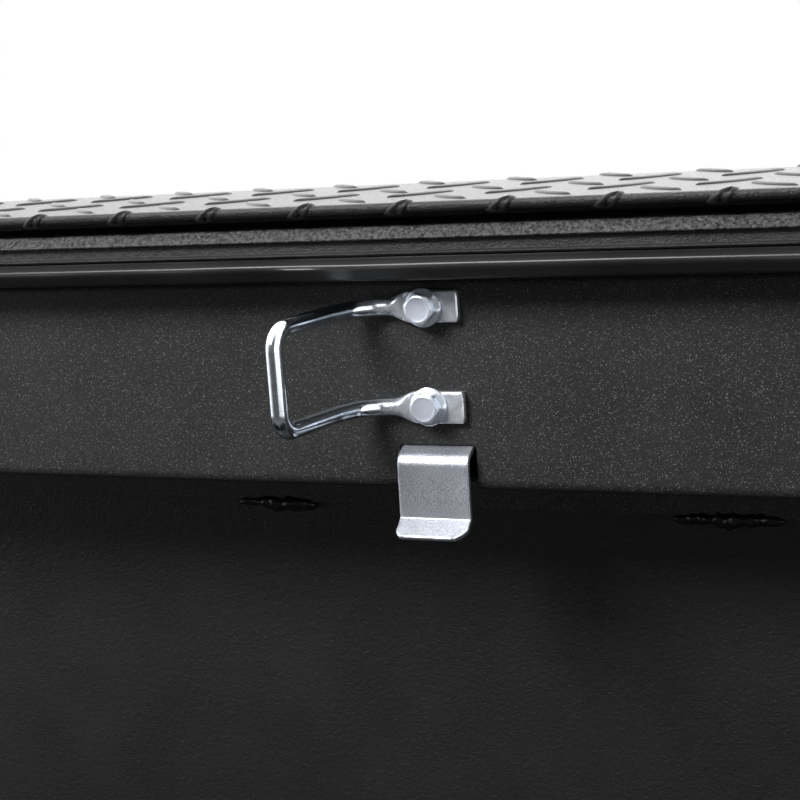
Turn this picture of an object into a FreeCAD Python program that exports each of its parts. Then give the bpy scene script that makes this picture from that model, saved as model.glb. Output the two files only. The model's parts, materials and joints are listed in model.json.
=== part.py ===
import FreeCAD, Part
import math, os
from FreeCAD import Placement, Rotation, Vector

# Full-size single-lid crossover truck tool box, lid standing open at 90 degrees.
# Millimetres. Origin: centre of the tub underside. +Z up, front of the box towards -Y, +X right.

doc = FreeCAD.newDocument("truck_tool_box")
sheet = doc.addObject("Spreadsheet::Sheet", "Dims")
cells = []      # aliases, in row order
pieces = []     # objects to export


# ================================================================ driven sizes
def number(size):
    return size.value if isinstance(size, Driven) else float(size)


class Driven:
    """A size with the cell expression that produces it."""

    def __init__(self, value, expr):
        self.value = float(value)
        self.expr = expr

    def join(self, symbol, other, value):
        term = other.expr if isinstance(other, Driven) else "%.5f" % other
        return Driven(value, "(%s %s %s)" % (self.expr, symbol, term))

    def __add__(self, other):
        return self.join("+", other, self.value + number(other))

    def __sub__(self, other):
        return self.join("-", other, self.value - number(other))

    def __truediv__(self, other):
        return self.join("/", other, self.value / number(other))

    def __neg__(self):
        return Driven(-self.value, "(0 - %s)" % self.expr)


def cell(alias, value):
    cells.append(alias)
    row = len(cells)
    sheet.set("A%d" % row, alias)
    sheet.set("B%d" % row, "%.6g" % value)
    sheet.setAlias("B%d" % row, alias)
    return Driven(value, "Dims." + alias)


def drive(obj, prop, size, name):
    """Binds a property to a driven size; a bare number first gets a cell of its own."""
    if not isinstance(size, Driven):
        size = cell("%s_%s_%d" % (prop.lower(), name, len(cells) + 1), size)
    setattr(obj, prop, size.value)
    obj.setExpression(prop, size.expr)


tub_length = cell("tub_length", 1742)
lid_top = cell("lid_skin_offset", 76.5)             # outer lid skin behind the channel face
pin_radius = cell("hinge_pin_radius", 1.5)
knuckle_length = cell("knuckle_length", 49.5)

LID_LENGTH = cell("lid_length", 1778).value
LID_DEPTH = cell("lid_depth", 508).value
HEM_REACH = cell("hem_reach", 25).value             # hem fold in front of the channel face
HEM_WIDTH = cell("hem_thickness", 3.6).value
HEM_SHEET = cell("hem_sheet_thickness", 1.5).value  # pressed thinner in the closed hem
SHEET = cell("sheet_thickness", 2).value
HALF_DEPTH = cell("tub_depth", 490).value / 2
RIM_Z = cell("tub_height", 360).value
SHELF_Z = cell("shelf_height", 210).value
HALF_FLOOR = cell("floor_length", 1524).value / 2
RIM = cell("rim_flange_width", 15).value
REAR_RIM = cell("rear_rim_flange_width", 32).value
HINGE_OFFSET = cell("hinge_pin_offset", 3.5).value
KNUCKLE_PITCH = cell("knuckle_pitch", 50).value
STRIKER_ROD_R = cell("striker_rod_radius", 3.175).value
STRIKER_BOLT_2 = cell("striker_bolt_spacing", 36.4).value / 2
CHANNEL_FACE = cell("channel_face_height", 80.2).value
STRIKER_MID = cell("striker_mid", 57.7).value       # striker centre behind the lid front edge
PULL_ROD_R = cell("pull_rod_radius", 2.5).value
doc.recompute()

MID = SHEET / 2                 # from a sheet's face to its centre line
BEND = 2.0                      # usual inside bend radius
FIT = 0.05                      # gap between touching pieces
HALF_LENGTH = tub_length.value / 2
HALF_LID = LID_LENGTH / 2
HINGE_Y = HALF_DEPTH + HINGE_OFFSET
HINGE_Z = RIM_Z - 0.3
WALL_Y = -HALF_DEPTH + SHEET + FIT      # pieces mounted inside the front wall start here

# The open lid has its front edge on top and its underside facing the front of the box.
# Lid coordinates: x, "back" from the front edge (down), "out" of the underside (-Y).
FACE_Y = HINGE_Y + 22.5         # channel face, where out = 0
FRONT_Z = HINGE_Z + HINGE_Y + 263.0     # lid front edge, where back = 0
SKIN_OUT = SHEET - lid_top.value        # inner face of the lid skin
SKIN_Y = FACE_Y - SKIN_OUT

SIDES = (("left", -1), ("right", 1))
DRAIN_X = (-600, 600)
RAIL_X = 820                    # rail clamp holes
RAIL_Y = (-150, 150)
BRACKET_X = (-85, 25)           # latch bracket bolts
BRACKET_Z = 262
LOCK_Y, LOCK_Z = -184, 254
BOLT_R, BOLT_HOLE_R, NUT_BORE_R = 3.0, 3.3, 3.05
HEX_R = 5.77                    # across corners, halved


# ================================================================ outlines
# An outline is a list of edges: (start, end) is a line, (start, middle, end) an arc.
def unit(x, y):
    length = math.hypot(x, y)
    return x / length, y / length


def gap(start, end):
    return math.hypot(end[0] - start[0], end[1] - start[1])


def step(point, direction, distance):
    return point[0] + direction[0] * distance, point[1] + direction[1] * distance


def corner_arc(before, corner, after, radius):
    """Start, middle, end and centre of the arc rounding a corner, or None if there is none."""
    back = unit(before[0] - corner[0], before[1] - corner[1])
    ahead = unit(after[0] - corner[0], after[1] - corner[1])
    angle = math.acos(max(-1, min(1, back[0] * ahead[0] + back[1] * ahead[1])))
    if radius <= 1e-6 or abs(angle - math.pi) < 1e-4:
        return None
    reach = radius / math.tan(angle / 2)
    bisector = unit(back[0] + ahead[0], back[1] + ahead[1])
    centre = step(corner, bisector, radius / math.sin(angle / 2))
    return (step(corner, back, reach), step(centre, bisector, -radius),
            step(corner, ahead, reach), centre)


def outline(points, radius=0):
    """Closed outline; a third value in a point is that corner's own radius."""
    count = len(points)
    corners = []
    for i, point in enumerate(points):
        own_radius = point[2] if len(point) > 2 else radius
        arc = corner_arc(points[i - 1], point, points[(i + 1) % count], own_radius)
        corners.append(arc or (point, None, point))
    edges = []
    for i, corner in enumerate(corners):
        start, middle, end = corner[:3]
        if middle is not None:
            edges.append((start, middle, end))
        following = corners[(i + 1) % count][0]
        if gap(end, following) > 1e-6:
            edges.append((end, following))
    return edges


def rounded_line(points, radius):
    """Edges of an open line with round corners, each with its centre (None if straight)."""
    edges = []
    start = points[0]
    for before, corner, after in zip(points, points[1:], points[2:]):
        *arc, centre = corner_arc(before, corner, after, radius)
        if gap(start, arc[0]) > 1e-6:
            edges.append(((start, arc[0]), None))
        edges.append((tuple(arc), centre))
        start = arc[2]
    if gap(start, points[-1]) > 1e-6:
        edges.append(((start, points[-1]), None))
    return edges


def offset_edge(edge, centre, radius, distance):
    """An edge moved to its left; a negative distance moves it right."""
    (x0, y0), (x1, y1) = edge[0], edge[-1]
    if centre is None:
        dx, dy = unit(x1 - x0, y1 - y0)
        return tuple((x - dy * distance, y + dx * distance) for x, y in edge)
    cx, cy = centre
    turn = (x0 - cx) * (y1 - cy) - (y0 - cy) * (x1 - cx)
    new_radius = radius - distance if turn > 0 else radius + distance
    return tuple(step(centre, unit(x - cx, y - cy), new_radius) for x, y in edge)


def folded(points, thickness=SHEET, bend=BEND):
    """Outline of a folded sheet with the given centre line and inside bend radius."""
    radius = bend + thickness / 2
    spine = rounded_line(points, radius)
    left = [offset_edge(edge, centre, radius, thickness / 2) for edge, centre in spine]
    right = [offset_edge(edge, centre, radius, -thickness / 2) for edge, centre in spine]
    return (left + [(left[-1][-1], right[-1][-1])]
            + [edge[::-1] for edge in reversed(right)] + [(right[0][0], left[0][0])])


def rect(x0, x1, y0, y1, radius=0):
    return outline([(x0, y0), (x1, y0), (x1, y1), (x0, y1)], radius)


def circle(x, y, radius):
    return [Part.Circle(Vector(x, y, 0), Vector(0, 0, 1), radius)]


def slot(x0, x1, y, r):
    """Slot along the first axis; x0 and x1 are the centres of its ends."""
    return [((x0, y - r), (x1, y - r)), ((x1, y - r), (x1 + r, y), (x1, y + r)),
            ((x1, y + r), (x0, y + r)), ((x0, y + r), (x0 - r, y), (x0, y - r))]


def upright_slot(x, y0, y1, r):
    return [tuple((across, along) for along, across in edge) for edge in slot(y0, y1, x, r)]


def span(sign, a, b):
    """Two x stations, put on the side of the box given by the sign, lower one first."""
    return sorted((sign * a, sign * b))


def on_side(sign, points):
    return [(sign * x, *rest) for x, *rest in points]


# ================================================================ PartDesign helpers
def keep(obj):
    pieces.append(obj)
    return obj


def new_body(label):
    return doc.addObject("PartDesign::Body", label)


def piece(label):
    return keep(new_body(label))


def origin_feature(body, role):
    return [f for f in body.Origin.OriginFeatures if f.Role == role][0]


def sketch(body, role, offset, loops, suffix="_sk"):
    result = body.newObject("Sketcher::SketchObject", body.Name + suffix)
    result.AttachmentSupport = [(origin_feature(body, role), "")]
    result.MapMode = "FlatFace"
    result.AttachmentOffset = Placement(Vector(0, 0, number(offset)), Rotation())
    if isinstance(offset, Driven):
        result.setExpression("AttachmentOffset.Base.z", offset.expr)
    for loop in loops:
        for edge in loop:
            if isinstance(edge, tuple):
                points = [Vector(point[0], point[1], 0) for point in edge]
                edge = Part.LineSegment(*points) if len(points) == 2 else Part.Arc(*points)
            result.addGeometry(edge, False)
    return result


def extrude(body, kind, role, offset, length, loops):
    """A pad, or a pocket that cuts towards the plane's normal as a pad would grow."""
    profile = sketch(body, role, offset, loops)
    suffix = "_pad" if kind == "Pad" else "_cut"
    result = body.newObject("PartDesign::" + kind, body.Name + suffix)
    result.Profile = profile
    if kind == "Pocket":
        result.Reversed = True
    drive(result, "Length", length, body.Name)
    body.Tip = result
    return result


def between(body, kind, axis, start, end, loops):
    role = {"x": "YZ_Plane", "y": "XZ_Plane", "z": "XY_Plane"}[axis]
    # the XZ plane's normal is -Y, so its sketch lies at the far end
    offset = -end if axis == "y" else start
    return extrude(body, kind, role, offset, end - start, loops)


def pad(body, axis, start, end, *loops):
    """Adds material from start to end on an axis; loops are in (y, z), (x, z) or (x, y)."""
    return between(body, "Pad", axis, start, end, loops)


def cut(body, axis, start, end, *loops):
    return between(body, "Pocket", axis, start, end, loops)


# ================================================================ Part helpers
def cylinder(start, end, radius, name):
    result = doc.addObject("Part::Cylinder", name)
    direction = Vector(*end) - Vector(*start)
    drive(result, "Radius", radius, name)
    drive(result, "Height", direction.Length, name)
    result.Placement = Placement(Vector(*start), Rotation(Vector(0, 0, 1), direction))
    return result


def cylinder_x(x0, x1, y, z, radius, name):
    return cylinder((x0, y, z), (x1, y, z), radius, name)


def cylinder_y(x, z, y0, y1, radius, name):
    return cylinder((x, y0, z), (x, y1, z), radius, name)


def box(x0, x1, y0, y1, z0, z1, name):
    result = doc.addObject("Part::Box", name)
    drive(result, "Length", x1 - x0, name)
    drive(result, "Width", y1 - y0, name)
    drive(result, "Height", z1 - z0, name)
    result.Placement = Placement(Vector(x0, y0, z0), Rotation())
    return result


def hexagon(x, y, z, direction, radius, height, name):
    result = doc.addObject("Part::Prism", name)
    result.Polygon = 6
    drive(result, "Circumradius", radius, name)
    drive(result, "Height", height, name)
    turn = Rotation(Vector(0, 0, 1), Vector(*direction))
    result.Placement = Placement(Vector(x, y, z), turn)
    return result


def fuse(label, *shapes):
    result = doc.addObject("Part::MultiFuse", label)
    result.Shapes = list(shapes)
    return result


def subtract(label, base, tool):
    result = doc.addObject("Part::Cut", label)
    result.Base = base
    result.Tool = tool
    return result


def group(label, links):
    result = doc.addObject("Part::Compound", label)
    result.Links = links
    return keep(result)


def fixed_shape(label, shape):
    result = doc.addObject("Part::Feature", label)
    result.Shape = shape
    return result


# ================================================================ TUB
# front wall, floor and rear wall: one folded sheet with rim flanges turned in and down
tub = piece("tub_shell")
front_lip = -HALF_DEPTH + RIM - MID
rear_lip = HALF_DEPTH - REAR_RIM + MID
pad(tub, "x", -(tub_length / 2), tub_length / 2, folded([
    (front_lip, RIM_Z - 12), (front_lip, RIM_Z - MID), (-HALF_DEPTH + MID, RIM_Z - MID),
    (-HALF_DEPTH + MID, MID), (HALF_DEPTH - MID, MID), (HALF_DEPTH - MID, RIM_Z - MID),
    (rear_lip, RIM_Z - MID), (rear_lip, RIM_Z - 12)]))
for sign in (-1, 1):
    cut(tub, "y", -HALF_DEPTH - 5, HALF_DEPTH + 5,
        rect(*span(sign, HALF_FLOOR, HALF_LENGTH + 5), -5, SHELF_Z))
cut(tub, "z", -1, SHEET + 1, *[circle(x, 0, 10) for x in DRAIN_X])
cut(tub, "y", -HALF_DEPTH - 1, -HALF_DEPTH + SHEET + 1,
    *[circle(x, BRACKET_Z, BOLT_HOLE_R) for x in BRACKET_X])


def end_panel(side, sign):
    """Stepped end: lower wall, rail shelf, upper wall, rim flange."""
    panel = piece("end_panel_" + side)
    foot_z = SHEET + MID + FIT
    lip_x = HALF_LENGTH - RIM + MID
    pad(panel, "y", -HALF_DEPTH + SHEET, HALF_DEPTH - SHEET, folded(on_side(sign, [
        (HALF_FLOOR - 16, foot_z), (HALF_FLOOR - MID, foot_z), (HALF_FLOOR - MID, SHELF_Z + MID),
        (HALF_LENGTH - MID, SHELF_Z + MID), (HALF_LENGTH - MID, RIM_Z - MID),
        (lip_x, RIM_Z - MID), (lip_x, RIM_Z - 12)])))
    # upper corners clear the front and rear rim flanges
    for y0, y1 in ((-HALF_DEPTH, -HALF_DEPTH + RIM + 0.2),
                   (HALF_DEPTH - REAR_RIM - 0.2, HALF_DEPTH)):
        cut(panel, "y", y0, y1, rect(
            *span(sign, HALF_LENGTH - RIM - 4, HALF_LENGTH + 2), RIM_Z - 14, RIM_Z + 2))
    # lower corners clear the inside bends of the tub sheet
    bend_depth = SHEET + BEND + 0.1
    for y0, y1 in ((-HALF_DEPTH, -HALF_DEPTH + bend_depth),
                   (HALF_DEPTH - bend_depth, HALF_DEPTH)):
        cut(panel, "y", y0, y1, rect(
            *span(sign, HALF_FLOOR - 18, HALF_FLOOR + 1), 0, SHEET + 2.15))
    # rail clamp holes in the shelf
    cut(panel, "z", SHELF_Z - 1, SHELF_Z + SHEET + 1,
        *[circle(sign * RAIL_X, y, 5.5) for y in RAIL_Y])
    # window for the handle dish, lock hole
    cut(panel, "x", *span(sign, HALF_LENGTH - SHEET - 1, HALF_LENGTH + 1),
        rect(-228, -140, 272, 332, 6), circle(LOCK_Y, LOCK_Z, 10.5))


def rail_pad(side, sign):
    pad(piece("rail_pad_" + side), "z", SHELF_Z - 4, SHELF_Z,
        rect(*span(sign, 770, 866), -225, 225, 5),
        *[circle(sign * RAIL_X, y, 7) for y in RAIL_Y])


for side, sign in SIDES:
    end_panel(side, sign)
    rail_pad(side, sign)

# flanged rubber plugs pressed in the floor holes
group("drain_plugs", [
    fuse("plug", cylinder((x, 0, 0), (x, 0, SHEET + 2), 9.95, "plug_stem"),
         cylinder((x, 0, SHEET), (x, 0, SHEET + 3), 14, "plug_flange"))
    for x in DRAIN_X])

# ================================================================ HINGE
KNUCKLES = 34                   # counted over both leaves, which take turns
HALF_HINGE = KNUCKLE_PITCH * KNUCKLES / 2
LEAF_SHEET = 1.5


def hinge_leaf(label, strip, web, first_x):
    """A flat leaf with every second knuckle, each a web and a curl round the pin."""
    leaf = piece(label)
    pad(leaf, "x", -HALF_HINGE, HALF_HINGE, folded(strip, LEAF_SHEET, 0.5))
    knuckle = [extrude(leaf, "Pad", "YZ_Plane", first_x, knuckle_length, [loop])
               for loop in (outline(web), circle(HINGE_Y, HINGE_Z, 3.35))]
    pattern = leaf.newObject("PartDesign::LinearPattern", label + "_pat")
    pattern.Originals = knuckle
    pattern.Direction = (origin_feature(leaf, "X_Axis"), [""])
    leaf.Tip = pattern
    doc.recompute()
    pattern.Length = KNUCKLE_PITCH * (KNUCKLES - 2)
    pattern.Occurrences = KNUCKLES // 2
    cut(leaf, "x", -HALF_HINGE - 2, HALF_HINGE + 2,
        circle(HINGE_Y, HINGE_Z, pin_radius.value + FIT))


hinge_leaf("hinge_leaf_body",
           [(HALF_DEPTH + 0.75, HINGE_Z - 30), (HALF_DEPTH + 0.75, HINGE_Z - 4.2)],
           [(HALF_DEPTH, HINGE_Z - 5), (HALF_DEPTH + 1.5, HINGE_Z - 5),
            (HALF_DEPTH + 1.5, HINGE_Z - 2.2), (HINGE_Y + 0.2, HINGE_Z - 3.0),
            (HINGE_Y + 0.2, HINGE_Z), (HALF_DEPTH + 0.2, HINGE_Z)],
           -HALF_HINGE + 0.25)
# with the lid open this leaf lies under the lowered rear wall of the lid
hinge_leaf("hinge_leaf_lid",
           [(HINGE_Y + 4.2, HINGE_Z + 2.75), (HINGE_Y + 30, HINGE_Z + 2.75)],
           [(HINGE_Y + 5, HINGE_Z + 3.5), (HINGE_Y + 5, HINGE_Z + 2),
            (HINGE_Y + 2.2, HINGE_Z + 2), (HINGE_Y + 3.0, HINGE_Z - 0.2),
            (HINGE_Y, HINGE_Z - 0.2), (HINGE_Y, HINGE_Z + 3.3)],
           -HALF_HINGE + KNUCKLE_PITCH + 0.25)
keep(cylinder_x(-HALF_HINGE, HALF_HINGE, HINGE_Y, HINGE_Z, pin_radius, "hinge_pin"))

RIVET_X = range(-800, 801, 100)
RIVET_HEAD = 1.4
rivet_y = HALF_DEPTH + LEAF_SHEET
rivet_z = HINGE_Z + 2
group("hinge_rivets_body", [
    cylinder_y(x, HINGE_Z - 18, rivet_y, rivet_y + RIVET_HEAD, 3.2, "body_rivet")
    for x in RIVET_X])
group("hinge_rivets_lid", [
    cylinder((x, HINGE_Y + 18, rivet_z), (x, HINGE_Y + 18, rivet_z - RIVET_HEAD), 3.2,
             "lid_rivet")
    for x in RIVET_X])


# ================================================================ LID (standing open)
def lid_point(x, back, out):
    return Vector(x, FACE_Y - out, FRONT_Z - back)


def lid_section(points):
    """World (y, z) of (back, out) points."""
    return [(FACE_Y - out, FRONT_Z - back) for back, out in points]


def lid_ring(profile, closed):
    """Mitred frame round the lid; profile points are (inset from the lid edge, out).

    An open ring leaves out the rear side."""

    def corners(inset, out):
        side_x = HALF_LID - inset
        rear = LID_DEPTH - inset if closed else LID_DEPTH
        return [lid_point(-side_x, rear, out), lid_point(-side_x, inset, out),
                lid_point(side_x, inset, out), lid_point(side_x, rear, out)]

    faces = []
    for i, point in enumerate(profile):
        near = corners(*point)
        far = corners(*profile[(i + 1) % len(profile)])
        for j in range(4 if closed else 3):
            k = (j + 1) % 4
            faces.append(Part.Face(Part.makePolygon([near[j], near[k], far[k], far[j], near[j]])))
    if not closed:
        for j in (0, 3):
            rim = [corners(*point)[j] for point in profile]
            faces.append(Part.Face(Part.makePolygon(rim + [rim[0]])))
    solid = Part.makeSolid(Part.makeShell(faces))
    if solid.Volume < 0:
        solid.reverse()
    return solid


def arc_points(cx, cy, radius, first, last, steps):
    points = []
    for i in range(steps + 1):
        angle = math.radians(first + (last - first) * i / steps)
        points.append((cx + radius * math.cos(angle), cy + radius * math.sin(angle)))
    return points


def round_edges(body, base, y, radius, name):
    """Fillets the edges of base that lie in the plane at y."""
    doc.recompute()
    edges = ["Edge%d" % (i + 1) for i, edge in enumerate(base.Shape.Edges)
             if abs(edge.BoundBox.YMin - y) < 0.01 and abs(edge.BoundBox.YMax - y) < 0.01]
    fillet = body.newObject("PartDesign::Fillet", name)
    fillet.Base = (base, edges)
    fillet.Radius = radius
    body.Tip = fillet
    return fillet


# skin: outer pan, hem on the front and sides, rear edge
HEM_START = 8                   # how far out the pan reaches
pan = new_body("lid_pan")
pad(pan, "y", FACE_Y - HEM_START, lid_top + FACE_Y,
    rect(-HALF_LID, HALF_LID, FRONT_Z - LID_DEPTH, FRONT_Z))
hollow = cut(pan, "y", FACE_Y - HEM_START - 1, SKIN_Y,
             rect(-HALF_LID + SHEET, HALF_LID - SHEET,
                  FRONT_Z - LID_DEPTH + SHEET, FRONT_Z - SHEET))
inner_bend = round_edges(pan, hollow, SKIN_Y, 4.0, "lid_inner_bend")
round_edges(pan, inner_bend, FACE_Y + lid_top.value, 6.0, "lid_outer_bend")

# the wall runs on, folds back on itself and turns in to the first ledge
hem_r = HEM_WIDTH / 2
fold_out = HEM_REACH - hem_r
overlap_out = HEM_START - 0.1   # hem and rear edge start inside the pan wall
hem = fixed_shape("lid_hem", lid_ring(
    [(0.0, overlap_out)] + arc_points(hem_r, fold_out, hem_r, 180, 0, 10)
    + [(HEM_WIDTH, 8.0), (6.6, 8.0), (8.7, 19.0), (12.4, 22.3), (13.0, 21.9), (13.0, 19.9),
       (9.9, 17.2), (8.3, 6.0), (HEM_WIDTH - HEM_SHEET, 6.0)]
    + arc_points(hem_r, fold_out, hem_r - HEM_SHEET, 0, 180, 8) + [(SHEET, overlap_out)],
    closed=False))
rear_edge = box(-HALF_LID + 14, HALF_LID - 14, FACE_Y - 21.9, FACE_Y - overlap_out,
                FRONT_Z - LID_DEPTH, FRONT_Z - LID_DEPTH + SHEET, "rear_edge")
keep(fuse("lid_skin", pan, hem, rear_edge))

# inner frame: second ledge, seal seat, leg back to the skin
leg_out = SKIN_OUT + 0.1
keep(fixed_shape("lid_inner_frame", lid_ring([
    (10.6, 16.4), (13.4, 19.5), (17.1, 20.0), (17.5, 21.8), (18.0, 21.8), (18.6, 21.2),
    (18.6, 12.0), (28.0, 12.0), (28.0, leg_out), (26.0, leg_out), (26.0, 10.0), (16.6, 10.0),
    (16.6, 18.6), (12.8, 16.0), (10.6, 14.0)], closed=True)))

# compression seal: bulb strip in the seat
keep(fixed_shape("lid_seal", lid_ring([
    (18.9, 12.05), (18.9, 20.3), (21.2, 20.6), (21.6, 21.8), (22.1, 22.0), (22.7, 21.5),
    (27.2, 19.2), (27.95, 18.2), (27.95, 12.05)], closed=True)))

# front channel, with a notch for the hook tab and the striker bolt holes
CHANNEL_BEND = 2.6
CHANNEL_FRONT = 28.1            # its front edge, behind the lid front edge
FLANGE_BACK = 134.2             # rear edge of its flange on the skin
FLANGE_OUT = SKIN_OUT + 1.1
BOLT_X = 1.0
STRIKER_Z = FRONT_Z - STRIKER_MID
STRIKER_BOLT_Z = (STRIKER_Z + STRIKER_BOLT_2, STRIKER_Z - STRIKER_BOLT_2)
channel_back = CHANNEL_FRONT + CHANNEL_FACE - MID
channel = piece("lid_front_channel")
pad(channel, "x", -HALF_LID + CHANNEL_FRONT, HALF_LID - CHANNEL_FRONT, folded(lid_section([
    (CHANNEL_FRONT + MID, SKIN_OUT + 0.2), (CHANNEL_FRONT + MID, -MID), (channel_back, -MID),
    (channel_back, FLANGE_OUT), (FLANGE_BACK, FLANGE_OUT)]), bend=CHANNEL_BEND))
cut(channel, "y", FACE_Y - 1, FACE_Y + 14, outline([
    (-13.4, FRONT_Z - 113), (16.9, FRONT_Z - 113),
    (16.9, FRONT_Z - 90.9, 2), (-13.4, FRONT_Z - 90.9, 2)]))
cut(channel, "y", FACE_Y - 1, FACE_Y + 3,
    *[circle(BOLT_X, z, BOLT_HOLE_R) for z in STRIKER_BOLT_Z])

# rear channel at the hinge end of the lid
pad(piece("lid_rear_channel"), "x", -824, 824, folded(lid_section([
    (LID_DEPTH - 29.1, SKIN_OUT + 0.2), (LID_DEPTH - 29.1, -MID), (LID_DEPTH - 75, -MID),
    (LID_DEPTH - 75, FLANGE_OUT), (LID_DEPTH - 95, FLANGE_OUT)]), bend=CHANNEL_BEND))

# hat ribs on the lid skin
ribs = []
for suffix, x in (("a", -450), ("b", 450)):
    rib = new_body("rib_" + suffix)
    foot_y = SKIN_Y - MID - FIT
    crown_y = SKIN_Y - 21
    pad(rib, "z", FRONT_Z - LID_DEPTH + 98, FRONT_Z - 139.6, folded([
        (x - 50, foot_y), (x - 30, foot_y), (x - 24, crown_y),
        (x + 24, crown_y), (x + 30, foot_y), (x + 50, foot_y)]))
    ribs.append(rib)
group("lid_ribs", ribs)

# stitch welds along the edge of the front channel's flange: (centre x, length)
WELDS = [(-106, 37), (91, 44), (-303, 38), (288, 40), (-500, 38),
         (485, 42), (-697, 38), (682, 40), (-820, 30), (815, 30)]
weld_out = SKIN_OUT + FIT
weld_back = FLANGE_BACK + FIT
beads = []
for x, length in WELDS:
    bead = new_body("bead")
    pad(bead, "x", x - length / 2, x + length / 2, outline(lid_section([
        (weld_back, weld_out), (138.4, weld_out), (137.8, weld_out + 1.2),
        (136.2, weld_out + 2.4), (weld_back, weld_out + 2.9)])))
    beads.append(bead)
group("weld_beads", beads)

# Striker: bent rod with flattened feet.
# Rod centre line: x, back from the striker centre, out, bend radius
STRIKER_LINE = [
    (-13, -18.3, 2.3, 0), (-20.5, -18.3, 3.3, 5), (-27, -18.2, 7.5, 4), (-29.5, -18.1, 14, 5),
    (-33.5, -18, 54, 5.5), (-33.5, 18, 54, 5.5),
    (-29.5, 18.4, 14, 5), (-27, 18.6, 7.5, 4), (-20.5, 18.8, 3.3, 5), (-13, 18.8, 2.3, 0)]


def bent_wire(points, radii):
    """Wire through 3D points with rounded bends; the end radii are not used."""
    edges = []
    start = points[0]
    for i in range(1, len(points) - 1):
        corner = points[i]
        back = (points[i - 1] - corner).normalize()
        ahead = (points[i + 1] - corner).normalize()
        half_angle = back.getAngle(ahead) / 2
        reach = radii[i] / math.tan(half_angle)
        arc_start = corner + back * reach
        arc_end = corner + ahead * reach
        bisector = (back + ahead).normalize()
        centre = corner + bisector * (radii[i] / math.sin(half_angle))
        middle = centre - bisector * radii[i]
        edges.append(Part.LineSegment(start, arc_start).toShape())
        edges.append(Part.Arc(arc_start, middle, arc_end).toShape())
        start = arc_end
    edges.append(Part.LineSegment(start, points[-1]).toShape())
    return Part.Wire(edges)


def sweep_circle(wire, start, direction, radius):
    section = Part.Wire([Part.Circle(start, direction, radius).toShape()])
    return wire.makePipeShell([section], True, True)


def striker_shape():
    points = [lid_point(x, STRIKER_MID + back, out) for x, back, out, _ in STRIKER_LINE]
    wire = bent_wire(points, [row[3] for row in STRIKER_LINE])
    rod = sweep_circle(wire, points[0], (points[1] - points[0]).normalize(), STRIKER_ROD_R)
    foot_width = 11.5
    feet = []
    for back in (-18.3, 18.8):
        corner = Vector(-17.5, FACE_Y - 3.45, STRIKER_Z - back - foot_width / 2)
        foot = Part.makeBox(31.7, 3.4, foot_width, corner)
        end_edges = [edge for edge in foot.Edges
                     if abs(edge.tangentAt(edge.FirstParameter).y) > 0.9
                     and edge.CenterOfMass.x > 0]
        feet.append(foot.makeFillet(1.2, end_edges))
    # nothing reaches past the channel face
    behind_face = Part.makeBox(200, 100, 200, Vector(-100, FACE_Y - FIT, STRIKER_Z - 100))
    shape = rod.fuse(feet).cut(behind_face)
    for z in STRIKER_BOLT_Z:
        hole_start = Vector(BOLT_X, FACE_Y - 12, z)
        shape = shape.cut(Part.makeCylinder(BOLT_HOLE_R, 20, hole_start, Vector(0, 1, 0)))
    return shape.removeSplitter()


keep(fixed_shape("striker", striker_shape()))

# flanged bolts from the underside, flanged nuts behind the channel face
bolts, nuts = [], []
nut_y = FACE_Y + SHEET + FIT
for z in STRIKER_BOLT_Z:
    bolts.append(fuse(
        "striker_bolt",
        cylinder_y(BOLT_X, z, FACE_Y - 3.5, FACE_Y - 5.0, 7.1, "bolt_flange"),
        hexagon(BOLT_X, FACE_Y - 5.0, z, (0, -1, 0), HEX_R, 4.6, "bolt_hex"),
        cylinder_y(BOLT_X, z, FACE_Y - 3.6, FACE_Y + 12, BOLT_R, "bolt_shank")))
    nut = fuse("nut_solid", hexagon(BOLT_X, nut_y, z, (0, 1, 0), HEX_R, 5.5, "nut_hex"),
               cylinder_y(BOLT_X, z, nut_y, FACE_Y + SHEET + 1.5, 7.1, "nut_flange"))
    nuts.append(subtract("striker_nut", nut,
                         cylinder_y(BOLT_X, z, FACE_Y, FACE_Y + 14, NUT_BORE_R, "nut_bore")))
group("striker_bolts", bolts)
group("striker_nuts", nuts)

# hook tab: strip behind the channel face, joggled out through the notch and lipped
TAB_X = (-12.5, 15.6)
tab = piece("hook_tab")
pad(tab, "x", *TAB_X, folded(lid_section([
    (STRIKER_MID + 26.5, -3.15), (STRIKER_MID + 34.6, -3.15), (STRIKER_MID + 39.6, 5.4),
    (STRIKER_MID + 59.0, 5.4), (STRIKER_MID + 66.0, 12.2)]), 2.2))
for x, chamfer in zip(TAB_X, (5, -5)):
    cut(tab, "y", FACE_Y - 20, FACE_Y, outline([
        (x, STRIKER_Z - 62.5), (x, STRIKER_Z - 70), (x + chamfer, STRIKER_Z - 70)]))

# ================================================================ STRUTS
STRUT_X = 838.0
TUB_EYE = (-110.0, 332.0)                       # (y, z) of the lower eye
LID_EYE = (HINGE_Y + 32.0, HINGE_Z + 70.0)      # (y, z) of the upper socket, lid open


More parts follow.
